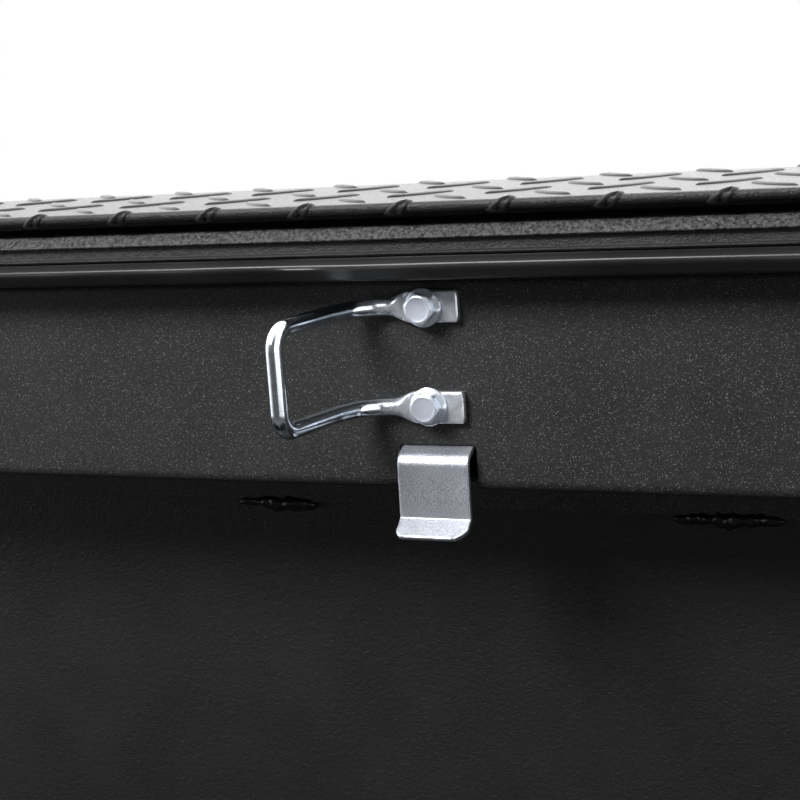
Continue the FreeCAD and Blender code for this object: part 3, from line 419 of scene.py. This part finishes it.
coat = powder("powder_coat", base=0.020, rough=0.46, painted_glint=1.0, grain=1.0)
coat_skin = powder("powder_coat_skin")
# The lid skin's copy carries the painted highlight on the first ledge inside the hem.
coat_lid = powder("powder_coat_lid", rough=0.38, grain=1.3, distance=0.0005, ledge=True)
coat_tread = powder("powder_coat_tread", bevel=0.0)
# The inner frame's copy has a paler base (0.024): painted highlight for the light its bands
# catch.
coat_ledge = powder("powder_coat_ledge", base=0.024, rough=0.45, painted_glint=0.30, grain=1.3,
                    distance=0.0005, bevel=0.0005)
coat_weld = powder("coated_weld", base=0.006, rough=0.30, painted_glint=0.03, grain=0.5, bevel=0.0)
pad_rubber = rubber("rubber", base=0.014, rough=0.38)
seal_rubber = rubber("seal_rubber", base=0.013, rough=0.34)
zinc_rod = bent_rod("zinc_rod")
zinc = metal("zinc", (0.72, 0.74, 0.77), rough=0.30, wave=0.2, mottle=0.08, grain=0.25,
             bevel=0.0004)
zinc_bolt = metal("zinc_bolt", (0.76, 0.82, 0.94), rough=0.25, wave=0.25, mottle=0.10,
                  grain=0.05, metallic=0.50)
zinc_frost = frosted("zinc_frost")
stainless = metal("stainless", (0.60, 0.60, 0.61), rough=0.30, wave=0.25, mottle=0.05,
                  bevel=0.0005, stretch=(0.25, 1, 14), wave_scale=90)
steel = metal("bright_steel", (0.62, 0.62, 0.63), rough=0.20, wave=0.05, mottle=0.05)
rivet = metal("aluminium_rivet", (0.74, 0.74, 0.75), rough=0.33, wave=0.1, mottle=0.04,
              bevel=0.0004)
chrome = metal("chrome", (0.80, 0.80, 0.82), rough=0.07, wave=0.0, mottle=0.02, bevel=0.0004)
enamel = plain("black_enamel", base=0.012, rough=0.22, grain=0.04, scale=300, bevel=0.0004,
               coat=0.5)
plastic = plain("black_plastic", base=0.03, rough=0.5, grain=0.2, scale=1200, bevel=0.0006)


# ------------------------------------------------------------------ looks of the frame's pieces
def both(*stems):
    return [f"{stem}_{side}" for stem in stems for side in ("left", "right")]


PIECES = (
    (coat, ["lid_front_channel", "lid_rear_channel", "lid_ribs"]),
    (coat_skin, ["tub_shell", *both("end_panel")]),
    (coat_ledge, ["lid_inner_frame"]),
    (coat_lid, ["lid_skin"]),
    (pad_rubber, [*both("rail_pad"), "drain_plugs"]),
    (stainless, ["hinge_leaf_body", "hinge_leaf_lid", *both("handle_dish", "paddle")]),
    (steel, ["hinge_pin", "hook_pin", "pawl_pin", "hook_spring", "pawl_spring",
             *both("paddle_pin", "strut_rod")]),
    (enamel, both("strut_tube")),
    (chrome, both("lock_housing", "lock_nut", "lock_plug")),
    (rivet, ["hinge_rivets_body", "hinge_rivets_lid", "dish_rivets"]),
    (zinc, ["striker_nuts", "latch_bracket", "latch_plate_front", "latch_plate_rear",
            "latch_hook", "latch_pawl", "latch_bolts", "latch_nuts",
            *both("pull_rod", "strut_plate_lid", "strut_plate_tub")]),
    (plastic, ["rod_guides"]),
)


def smooth_by_angle(degrees):
    """Node group: smooth shading where faces meet at less than the angle."""
    group = bpy.data.node_groups.new("smooth_by_angle", "GeometryNodeTree")
    for direction in ("INPUT", "OUTPUT"):
        group.interface.new_socket("Geometry", in_out=direction,
                                   socket_type="NodeSocketGeometry")
    g = Graph(group)
    entry, exit_ = g.node("NodeGroupInput"), g.node("NodeGroupOutput")
    merge = g.node("GeometryNodeMergeByDistance")
    merge.inputs["Distance"].default_value = 1e-6
    strip = g.node("GeometryNodeRemoveAttribute")
    strip.inputs["Name"].default_value = "custom_normal"
    smooth_faces = g.node("GeometryNodeSetShadeSmooth", domain="FACE")
    smooth_edges = g.node("GeometryNodeSetShadeSmooth", domain="EDGE")
    edge_angle = g.node("GeometryNodeInputMeshEdgeAngle")
    shallow = g.node("FunctionNodeCompare", data_type="FLOAT", operation="LESS_THAN")
    shallow.inputs[1].default_value = math.radians(degrees)
    chain = (entry, strip, merge, smooth_faces, smooth_edges)
    for source, target in zip(chain, chain[1:]):
        g.feed(target.inputs[0], source.outputs[0])
    g.feed(shallow.inputs[0], edge_angle.outputs[0])
    g.feed(smooth_edges.inputs["Shade Smooth"], shallow.outputs[0])
    g.feed(exit_.inputs[0], smooth_edges.outputs[0])
    return group


smoothing = smooth_by_angle(32)
material_of = {name: material for material, names in PIECES for name in names}
for name, obj in nodes.items():
    obj.data.materials.clear()
    if name in material_of:
        obj.data.materials.append(material_of[name])
        obj.modifiers.new("smooth", "NODES").node_group = smoothing

# ------------------------------------------------------------------ lid surface, unrolled
FOLD_R, HEM_REACH = 1.8, 25.0   # hem fold radius, and how far the hem stands out
CORNER_R = 6.0                  # bends between the lid's walls and its outer skin
SKIN_OUT = -76.5                # outer skin of the lid

# Distances from the hem's apex: front wall, bend, outer skin, bend, rear wall
FOLD_END = FOLD_R * math.pi / 2
WALL_END = FOLD_END + (HEM_REACH - FOLD_R) - (SKIN_OUT + CORNER_R)
SKIN_START = WALL_END + CORNER_R * math.pi / 2
SKIN_END = SKIN_START + (LID_DEPTH - 2 * CORNER_R)
REAR_START = SKIN_END + CORNER_R * math.pi / 2


def lid_profile(s):
    """Distance from the hem's apex -> inset from the edge, out, and the normal along both.

    s < 0 is the inner side of the fold.
    """
    fold = s / FOLD_R
    front = (s - WALL_END) / CORNER_R
    rear = (s - SKIN_END) / CORNER_R
    spans = [s < -FOLD_END, s <= FOLD_END, s <= WALL_END, s <= SKIN_START, s <= SKIN_END,
             s <= REAR_START]
    fold_out = HEM_REACH - FOLD_R
    bend_out = SKIN_OUT + CORNER_R
    inset = np.select(spans, [
        2 * FOLD_R, FOLD_R - FOLD_R * np.sin(fold), 0.0, CORNER_R - CORNER_R * np.cos(front),
        CORNER_R + s - SKIN_START, LID_DEPTH - CORNER_R + CORNER_R * np.sin(rear)], LID_DEPTH)
    out = np.select(spans, [
        fold_out - (-s - FOLD_END), fold_out + FOLD_R * np.cos(fold), fold_out - (s - FOLD_END),
        bend_out - CORNER_R * np.sin(front), SKIN_OUT, bend_out - CORNER_R * np.cos(rear)],
        bend_out + (s - REAR_START))
    normal_inset = np.select(spans, [1.0, -np.sin(fold), -1.0, -np.cos(front), 0.0,
                                     np.sin(rear)], 1.0)
    normal_out = np.select(spans, [0.0, np.cos(fold), 0.0, -np.sin(front), -1.0,
                                   -np.cos(rear)], 0.0)
    return inset, out, normal_inset, normal_out


def lid_front(x, s, height):
    inset, out, normal_inset, normal_out = lid_profile(s)
    return lid_point(x, inset + normal_inset * height, out + normal_out * height)


def lid_side(sign):
    def surface(down, s, height):
        inset, out, normal_inset, normal_out = lid_profile(s)
        along = sign * (LID_LENGTH / 2 - inset - normal_inset * height)
        return lid_point(along, down, out + normal_out * height)
    return surface


# ------------------------------------------------------------------ tread lugs
PITCH = 37.7                    # lattice pitch; every second half-pitch point holds a lug
PHASE_X = -2.2                  # lattice phase along the box
LUG_HALF_LENGTH, LUG_HALF_WIDTH = 13.4, 2.9
LUG_RISE = 0.68                 # scale on the heights above the plate
LUG_BASE, LUG_TOP = -0.35, 1.4  # centre points that close the lug
# (height, length scale, width scale) from the buried base up
FINE_RINGS = ((-0.35, 1.0, 1.0), (0.0, 1.0, 1.0), (0.55, 0.965, 0.90), (1.05, 0.90, 0.72),
              (1.32, 0.78, 0.44))
COARSE_RINGS = ((-0.3, 1.0, 1.0), (0.0, 1.0, 1.0), (0.85, 0.94, 0.80), (1.28, 0.78, 0.42))


def lug(stations, count):
    """One lug lying along its first axis, across its second, rising on its third."""
    angles = circle_angles(count)
    along = np.cos(angles)
    across = np.sin(angles) * np.abs(np.sin(angles)) ** 0.25
    rings = []
    for height, length, width in stations:
        level = height if height < 0 else height * LUG_RISE
        rings.append(np.stack([LUG_HALF_LENGTH * length * along,
                               LUG_HALF_WIDTH * width * across, np.full(count, level)], -1))
    vertices, faces = skin(rings)
    bottom, top = len(vertices), len(vertices) + 1
    last = bottom - count
    for j in range(count):
        j2 = (j + 1) % count
        faces.append((bottom, j2, j))
        faces.append((top, last + j, last + j2))
    centres = [[0, 0, LUG_BASE], [0, 0, LUG_TOP * LUG_RISE]]
    return np.concatenate([vertices, centres]), faces


FINE_LUG = lug(FINE_RINGS, 28)
COARSE_LUG = lug(COARSE_RINGS, 14)


def lay_lugs(centres, surface, flip, shape=COARSE_LUG):
    """Lay lugs at (x, y, slant) centres; surface(x, y, height) gives metres."""
    vertices, faces = shape
    if flip:
        faces = [face[::-1] for face in faces]
    laid = []
    for x, y, slant in centres:
        cosine, sine = math.cos(math.radians(slant)), math.sin(math.radians(slant))
        # lugs on the hem fold are shortened along x and shifted
        on_fold = surface is lid_front and abs(y) < 4
        squeeze, shift = (0.72, 3.4) if on_fold else (1.0, 0.0)
        lug_x = x + vertices[:, 0] * cosine * squeeze - vertices[:, 1] * sine + shift
        lug_y = y + vertices[:, 0] * sine * squeeze + vertices[:, 1] * cosine
        laid.append((surface(lug_x, lug_y, vertices[:, 2]), faces))
    return join(laid)


def lattice(x0, x1, y0, y1, phase_x, phase_y, keep=lambda x, y: True):
    """Staggered lug centres in a rectangle, columns slanting by turns to either side."""
    centres = []
    for i in range(int((x0 - phase_x) / PITCH * 2) - 2, int((x1 - phase_x) / PITCH * 2) + 3):
        for j in range(int((y0 - phase_y) / PITCH * 2) - 2,
                       int((y1 - phase_y) / PITCH * 2) + 3):
            x, y = phase_x + i * PITCH / 2, phase_y + j * PITCH / 2
            inside = x0 <= x <= x1 and y0 <= y <= y1
            if (i + j) % 2 == 0 and inside and keep(x, y):
                centres.append((x, y, 45 if i % 2 == 0 else -45))
    return centres


def add_lid_tread():
    end_margin = 12

    def keep(x, s):
        skin_end_strip = SKIN_START < s < SKIN_END and abs(x) > LID_LENGTH / 2 - 17
        rear_bend = SKIN_END - 3 < s < REAR_START + 9
        return not skin_end_strip and not rear_bend

    def is_near(centre):
        return abs(centre[0]) < 330 and centre[1] < WALL_END + 20

    half = LID_LENGTH / 2 - end_margin
    centres = lattice(-half, half, -6, REAR_START + 46, PHASE_X, -2.5, keep)
    near = [c for c in centres if is_near(c)]
    far = [c for c in centres if not is_near(c)]
    meshes = [lay_lugs(far, lid_front, flip=True)]
    for sign in (-1, 1):
        side = lattice(14, LID_DEPTH - 14, 0, WALL_END - 11, 14.0, 0.0)
        meshes.append(lay_lugs(side, lid_side(sign), flip=sign > 0))
    add_piece("tread_lid_front", lay_lugs(near, lid_front, flip=True, shape=FINE_LUG),
              coat_tread)
    add_piece("tread_lid", join(meshes), coat_tread)


# Tub: wide upper part over a shorter lower part
TUB_HALF_DEPTH = 245
UPPER_HALF_LENGTH, LOWER_HALF_LENGTH = 871, 762
STEP_Z = 212                    # underside of the upper part's overhang
FRONT_GAPS_X, FRONT_GAPS_Z, FRONT_GAP_R = (-85, 25), 262, 19
END_GAP_Y, END_GAP_Z = (-238, -130), (236, 344)
TUB_PHASE_Z = 8.0
MARGIN, SMALL_MARGIN = 13, 12


def long_wall(sign):
    return lambda x, z, height: np.stack([x, sign * (TUB_HALF_DEPTH + height), z], -1) * MM


def end_wall(half_length, sign):
    return lambda y, z, height: np.stack([sign * (half_length + height), y, z], -1) * MM


def back_keep(x, z):
    """Leaves out the empty corners beside the lower part."""
    return not (z < STEP_Z + SMALL_MARGIN and abs(x) > LOWER_HALF_LENGTH - MARGIN)


def front_keep(x, z):
    """Also leaves two round gaps in the front wall."""
    clear = all(math.hypot(x - gap_x, z - FRONT_GAPS_Z) >= FRONT_GAP_R
                for gap_x in FRONT_GAPS_X)
    return back_keep(x, z) and clear


def end_keep(y, z):
    """Leaves out a rectangle near the front of each upper end wall."""
    return not (END_GAP_Y[0] - MARGIN < y < END_GAP_Y[1] + SMALL_MARGIN
                and END_GAP_Z[0] - SMALL_MARGIN < z < END_GAP_Z[1] + MARGIN)


def add_tub_tread():
    half_x = UPPER_HALF_LENGTH - MARGIN
    upper_y = TUB_HALF_DEPTH - MARGIN
    lower_y = 243 - MARGIN
    meshes = []
    for sign, top, keep in ((-1, 346, front_keep), (1, 314, back_keep)):
        centres = lattice(-half_x, half_x, MARGIN, top, PHASE_X, TUB_PHASE_Z, keep)
        meshes.append(lay_lugs(centres, long_wall(sign), flip=sign > 0))
    for sign in (-1, 1):
        upper = lattice(-upper_y, upper_y, 226, 346, 0, TUB_PHASE_Z, end_keep)
        lower = lattice(-lower_y, lower_y, 16, 194, 0, TUB_PHASE_Z)
        for centres, half_length in ((upper, UPPER_HALF_LENGTH), (lower, LOWER_HALF_LENGTH)):
            meshes.append(lay_lugs(centres, end_wall(half_length, sign), flip=sign < 0))
    add_piece("tread_tub", join(meshes), coat_tread, body="tub")


add_lid_tread()
add_tub_tread()

# ------------------------------------------------------------------ lid seal
# Section as (inset from the lid's edge, out)
SEAL_SECTION = (
    (18.9, 12.05), (18.88, 16.2), (18.9, 20.0), (18.94, 20.36), (19.06, 20.44), (19.6, 20.45),
    (21.4, 20.45), (21.95, 20.6), (22.3, 21.1), (22.75, 21.6), (23.2, 21.55), (24.2, 21.0),
    (25.6, 20.0), (26.8, 19.3), (27.5, 18.6), (27.9, 17.2), (27.95, 12.05), (23.4, 12.05),
)
SEAL_LIP = range(9, 15)         # section points with extra waviness


def seal_mesh():
    """Slightly wavy strip round the lid, its waviness fading out at the corners."""
    rings = []
    run = 0.0
    for side in range(4):
        count, length = (250, LID_LENGTH) if side in (0, 2) else (60, LID_DEPTH)
        for i in range(count):
            t = i / count
            x = run + t * length
            fade = min(1.0, 12 * t, 12 * (1 - t))
            ring = []
            for index, (inset, out) in enumerate(SEAL_SECTION):
                freedom = np.clip((out - 13) / 8, 0, 1)
                wave = smooth_noise(x, 17, 3) * 0.10 + smooth_noise(x, 44, 4) * 0.16
                if index in SEAL_LIP:
                    wave += smooth_noise(x, 13, 5) * 0.16
                d = inset + (wave * freedom * 0.6) * fade
                sag = abs(smooth_noise(x, 29, 6)) * 0.16 * freedom * fade
                half = LID_LENGTH / 2 - d
                corners = [(-half, d), (half, d), (half, LID_DEPTH - d), (-half, LID_DEPTH - d)]
                (x0, y0), (x1, y1) = corners[side], corners[(side + 1) % 4]
                ring.append((x0 + (x1 - x0) * t, y0 + (y1 - y0) * t, out - sag))
            rings.append(lid_point(*np.array(ring).T))
        run += length
    return skin(rings, closed=True)


add_piece("seal_strip", seal_mesh(), seal_rubber, sharp_angle=50,
          replaces="lid_seal")

# ------------------------------------------------------------------ weld beads
# (middle along the lid, length)
WELDS = ((-106, 37), (91, 44), (-303, 38), (288, 40), (-500, 38), (485, 42), (-697, 38),
         (682, 40), (-820, 28), (815, 28))
WELD_DOWN, WELD_OUT, WELD_R = 135.3, -72.9, 2.4
WELD_STEP = 0.55


def weld_mesh():
    """Lumpy tapering beads in one row; each reads its own stretch of the noise."""
    angles = circle_angles(16)
    meshes = []
    for i, (middle, length) in enumerate(WELDS):
        count = int(length / WELD_STEP)
        rings = []
        for j in range(count + 1):
            t = j / count
            x = middle - length / 2 + t * length
            u = x + 400 * i
            taper = max(1 - abs(2 * t - 1) ** 5, 0.0) ** 0.5
            swell = 0.45 * smooth_noise(u, 2.1, 20) + 0.55 * smooth_noise(u, 5.5, 21)
            radius = (WELD_R + swell) * taper + 0.03
            down = WELD_DOWN + 0.7 * smooth_noise(u, 4.2, 22)
            out = WELD_OUT + 0.3 * smooth_noise(u, 3.0, 23)
            lumpy = radius * (1 + 0.10 * np.cos(3 * angles + 3 * smooth_noise(u, 2.5, 24)))
            rings.append(lid_point(x, down + lumpy * 1.1 * np.cos(angles),
                                   out + lumpy * 0.95 * np.sin(angles)))
        meshes.append(loft(rings))
    return join(meshes)


add_piece("weld_runs", weld_mesh(), coat_weld, replaces="weld_beads")

# ------------------------------------------------------------------ striker
# Rod centreline (along, down from the striker's centre, out, bend radius): from the end of
# the upper foot, round the loop, to the end of the lower foot
STRIKER_PATH = (
    (14.2, -18.3, 1.75, 0), (-8.0, -18.3, 1.75, 14), (-18.0, -18.3, 3.4, 8),
    (-25.5, -18.2, 8.5, 12), (-29.2, -18.1, 20, 20), (-33.8, -18.0, 54.0, 7.6),
    (-33.8, 18.2, 54.0, 6.8), (-29.2, 18.5, 20, 20), (-25.5, 18.7, 8.5, 12),
    (-18.0, 18.8, 3.4, 8), (-8.0, 18.8, 1.75, 14), (14.2, 18.8, 1.75, 0),
)
ROD_R = 3.175
FOOT_HALF_WIDTH, FOOT_HALF_THICK = 5.85, 1.72


def end_rounding(distance, radius):
    """1 at the very end, falling to 0 at the radius from it."""
    if distance >= radius:
        return 0.0
    return 1 - math.sqrt(1 - ((radius - distance) / radius) ** 2)


def striker_mesh():
    """Bent round rod with its two ends pressed flat into feet."""
    path, distances = fillet_path([row[:3] for row in STRIKER_PATH],
                                  [row[3] for row in STRIKER_PATH], step=0.45)
    angles = circle_angles(40)
    cosine, sine = np.cos(angles), np.sin(angles)
    rings = []
    # the width direction is carried round the loop without twist
    across = np.array([0, 1.0, 0])
    for point, tangent, distance in zip(path, unit_tangents(path), distances):
        across = across - tangent * (across @ tangent)
        across /= np.linalg.norm(across)
        normal = np.cross(tangent, across)
        s = min(distance, distances[-1] - distance)
        # the rod spreads before it thins
        flat = 1 - smoothstep(18.5, 27.5, s)
        thinning = smoothstep(0, 1, 1 - smoothstep(17.5, 29.5, s))
        half_width = ROD_R + flat * (FOOT_HALF_WIDTH - ROD_R) - end_rounding(s, 1.0)
        half_thick = (ROD_R + thinning * (FOOT_HALF_THICK - ROD_R)
                      - 0.5 * end_rounding(s, 0.6))
        # round section turning to a squarish one
        power = 2 / (2.0 + 4.5 * flat ** 1.5)
        x = half_width * np.sign(cosine) * np.abs(cosine) ** power
        y = half_thick * np.sign(sine) * np.abs(sine) ** power
        # small crimp marks on the shoulders
        crimp = (math.exp(-((s - 21.2) / 1.1) ** 2) * 0.34
                 + math.exp(-((s - 25.4) / 1.3) ** 2) * 0.38)
        y = y * (1 - crimp * (np.abs(x) / half_width) ** 2 * 0.9)
        x = x * (1 + 0.05 * crimp)
        ring = point + across * x[:, None] + normal * y[:, None]
        rings.append(lid_point(ring[:, 0], STRIKER_DOWN + ring[:, 1], ring[:, 2]))
    return loft(rings)


add_piece("striker_loop", striker_mesh(), zinc_rod, sharp_angle=40,
          replaces="striker")

# (along, down from the striker's centre, turn of the hexagon in degrees)
BOLTS = ((1.2, -18.1, 14), (0.9, 18.2, 4))
BOLT_SEAT, BOLT_TOP = 3.5, 9.3
BOLT_SHANK_R = 3.0


def bolt_mesh(along, down, turn):
    """Flanged hexagon head over a plain shank that passes through the lid."""
    angles = circle_angles(96)
    degrees = np.degrees(angles) - turn
    hexagon = 5.0 / np.cos(np.radians((degrees + 30) % 60 - 30)) * 1.03
    head = np.minimum(hexagon, 5.75)
    chamfer = BOLT_TOP - np.maximum(head - 4.55, 0) * 0.62

    def ring(radius, out, around=angles):
        return lid_point(along + radius * np.sin(around),
                         STRIKER_DOWN + down - radius * np.cos(around), out)

    # (radius, out): flange, hexagon, top face
    head_rings = (
        (7.0, BOLT_SEAT), (7.1, BOLT_SEAT + 0.15), (7.1, BOLT_SEAT + 0.95),
        (6.95, BOLT_SEAT + 1.12), (head + 0.55, BOLT_SEAT + 1.55),
        (head + 0.12, BOLT_SEAT + 1.75), (head, BOLT_SEAT + 2.0), (head, chamfer),
        (4.55, BOLT_TOP), (4.42, BOLT_TOP + 0.02), (4.2, BOLT_TOP - 0.05),
        (3.4, BOLT_TOP - 0.18), (1.6, BOLT_TOP - 0.24), (0.4, BOLT_TOP - 0.25),
    )
    shank = [ring(BOLT_SHANK_R, out, angles[::3]) for out in (-12.0, 3.8)]
    return join([loft([ring(radius, out) for radius, out in head_rings]), loft(shank)])


add_piece("striker_bolt_heads", join([bolt_mesh(*bolt) for bolt in BOLTS]), zinc_bolt,
          sharp_angle=24, replaces="striker_bolts")

# ------------------------------------------------------------------ hook tab
# Centreline (down from the striker's centre, out, bend radius)
TAB_PATH = ((26.5, -3.15, 0), (33.6, -3.15, 3.0), (37.6, 4.9, 4.6), (60.0, 5.5, 1.6),
            (65.9, 12.2, 0))
TAB_THICK = 2.2
TAB_X0, TAB_X1 = -12.5, 15.6
TAB_TIP = 4.6                   # length over which the free end narrows
TAB_EDGE_R = 0.55
# Half-thickness scales across the two faces; the front one is slightly hollow
TAB_FRONT = [0.45, 0.85, 1.0, 0.99, 0.90] + [0.88] * 6 + [0.90, 0.99, 1.0, 0.85, 0.45]
TAB_BACK = [0.45, 0.85] + [1.0] * 12 + [0.85, 0.45]


def tab_mesh():
    """Bent strip with soft edges and a rounded free end."""
    path, distances = fillet_path([(0, STRIKER_DOWN + down, out) for down, out, _ in TAB_PATH],
                                  [row[2] for row in TAB_PATH], step=0.4)
    rings = []
    for point, tangent, distance in zip(path, unit_tangents(path), distances):
        normal = np.array([0, -tangent[2], tangent[1]])
        to_end = distances[-1] - distance
        x0, x1 = TAB_X0, TAB_X1
        if to_end < TAB_TIP:
            tip = (TAB_TIP - to_end) / TAB_TIP
            x0 = TAB_X0 - 0.9 + 2.6 * tip ** 2.5 + 0.9 * (to_end / TAB_TIP)
            x1 = TAB_X1 - 4.3 * tip ** 1.6
        half = TAB_THICK / 2
        if to_end < 0.5:
            half *= math.sqrt(1 - ((0.5 - to_end) / 0.5) ** 2 * 0.6)
        # stations across the strip, crowded towards its edges
        insets = [0, TAB_EDGE_R * 0.3, TAB_EDGE_R, 1.6, 2.6]
        across = [x0 + inset for inset in insets]
        across += list(np.linspace(x0 + 4, x1 - 4, 6))
        across += [x1 - inset for inset in insets[::-1]]
        ring = [point + np.array([x, 0, 0]) + normal * half * scale
                for x, scale in zip(across, TAB_FRONT)]
        ring += [point + np.array([x, 0, 0]) - normal * half * scale
                 for x, scale in zip(across[::-1], TAB_BACK)]
        rings.append(lid_point(*np.array(ring).T))
    return loft(rings)


add_piece("hook_plate", tab_mesh(), zinc_frost, sharp_angle=40,
          replaces="hook_tab")

# outward normals on every mesh made here
for piece in built:
    bm = bmesh.new()
    bm.from_mesh(piece.data)
    bmesh.ops.recalc_face_normals(bm, faces=bm.faces)
    bm.to_mesh(piece.data)
    bm.free()


# ------------------------------------------------------------------ floor
def floor_paper():
    """Bright to the camera, dark to other rays, and open to them beyond 4 m."""
    m = Material("floor_paper")
    mottling = m.noise(scale=3.0)
    camera_ray = m.node("ShaderNodeLightPath").outputs["Is Camera Ray"]
    seen = m.ramp(mottling, [(0.3, 0.56), (0.7, 0.58)])
    m.surface(Base_Color=m.mix(camera_ray, (0.12, 0.12, 0.12), seen), Roughness=0.9,
              Emission_Color=(1, 1, 1),
              Emission_Strength=m.math("MULTIPLY", camera_ray, 0.42))
    x, y, _ = m.split(m.position)
    radius_squared = m.math("ADD", m.math("MULTIPLY", x, x), m.math("MULTIPLY", y, y))
    opening = m.math("MULTIPLY", m.math("GREATER_THAN", radius_squared, 16.0),
                     m.math("SUBTRACT", 1.0, camera_ray))
    clear = m.node("ShaderNodeBsdfTransparent").outputs[0]
    m.feed(m.output.inputs[0], m.mix_shader(opening, m.shader.outputs[0], clear))
    return m.material


def add_floor(radius, z):
    material = floor_paper()
    angles = circle_angles(96)
    rim = [(radius * math.cos(a), radius * math.sin(a), z) for a in angles]
    data = bpy.data.meshes.new("floor")
    data.from_pydata(rim, [], [tuple(range(len(rim)))])
    floor = bpy.data.objects.new("floor", data)
    bpy.context.scene.collection.objects.link(floor)
    data.materials.append(material)


add_floor(radius=9.0, z=-0.0006)


# ------------------------------------------------------------------ world
def add_world():
    """White to the camera, dim to diffuse rays, graded by direction in reflections."""
    world = bpy.data.worlds.new("studio")
    bpy.context.scene.world = world
    world.use_nodes = True
    g = Graph(world.node_tree)
    output = g.node("ShaderNodeOutputWorld")
    direction = g.split(g.node("ShaderNodeTexCoord").outputs["Generated"])

    def graded(axis, stops):
        return g.ramp(g.linear(direction[axis], gain=0.5, offset=0.5), stops)

    def background(strength):
        node = g.node("ShaderNodeBackground")
        g.feed(node.inputs[0], (1, 1, 1))
        g.feed(node.inputs[1], strength)
        return node.outputs[0]

    # reflections: dim in front of the box, bright behind, above and towards +x
    depth = graded(1, [(0.0, 0.05), (0.10, 0.06), (0.22, 0.40), (0.36, 0.9), (0.55, 1.0),
                       (1.0, 1.0)])
    upward = graded(2, [(0.0, 0.22), (0.25, 0.35), (0.45, 0.85), (0.55, 1.0), (1.0, 0.8)])
    right = graded(0, [(0.0, 0.0), (0.72, 0.0), (0.80, 0.72), (1.0, 0.8)])
    glow = g.math("MULTIPLY", g.math("MAXIMUM", depth, right), upward)
    reflected = g.math("MULTIPLY", glow, 3.0)
    rays = g.node("ShaderNodeLightPath").outputs
    shade = g.mix_shader(rays["Is Glossy Ray"], background(0.10), background(reflected))
    shade = g.mix_shader(rays["Is Camera Ray"], shade, background(1.0))
    g.feed(output.inputs[0], shade)


add_world()


# ------------------------------------------------------------------ lights and camera
def area_light(name, position, target, width, height, power):
    data = bpy.data.lights.new(name, "AREA")
    data.shape = "RECTANGLE"
    data.size, data.size_y = width, height
    data.energy = power
    light = bpy.data.objects.new(name, data)
    bpy.context.scene.collection.objects.link(light)
    light.location = Vector(position)
    light.rotation_mode = "QUATERNION"
    aim = Vector(target) - Vector(position)
    light.rotation_quaternion = aim.to_track_quat("-Z", "Y")


focus = Vector((0.0, 0.26, 0.80))
key_direction = Vector((-0.36, -0.70, 0.64)).normalized()
area_light("key", focus + key_direction * 2.3, focus, width=1.0, height=0.8, power=72.0)
area_light("top_back", (0.3, 2.4, 3.0), focus, width=2.6, height=1.4, power=60.0)
area_light("fill_right", (2.6, -1.6, 1.3), (0, 0, 0.5), width=1.2, height=1.6, power=5.0)


def add_camera(right, up, back, position):
    """Camera placed by its own axes in the world."""
    data = bpy.data.cameras.new("camera")
    data.sensor_width = 36.0
    data.lens = 78.75
    data.clip_start, data.clip_end = 0.01, 50
    camera = bpy.data.objects.new("camera", data)
    bpy.context.scene.collection.objects.link(camera)
    camera.matrix_world = Matrix((*zip(right, up, back, position), (0, 0, 0, 1)))
    bpy.context.scene.camera = camera


add_camera(right=(0.9161, 0.3948, -0.0700), up=(-0.0092, 0.1951, 0.9807),
           back=(0.4008, -0.8978, 0.1823), position=(0.2462, -0.3074, 0.9143))

view = bpy.context.scene.view_settings
view.view_transform = "Standard"
view.look = "None"
view.exposure = 0.0
view.gamma = 1.0
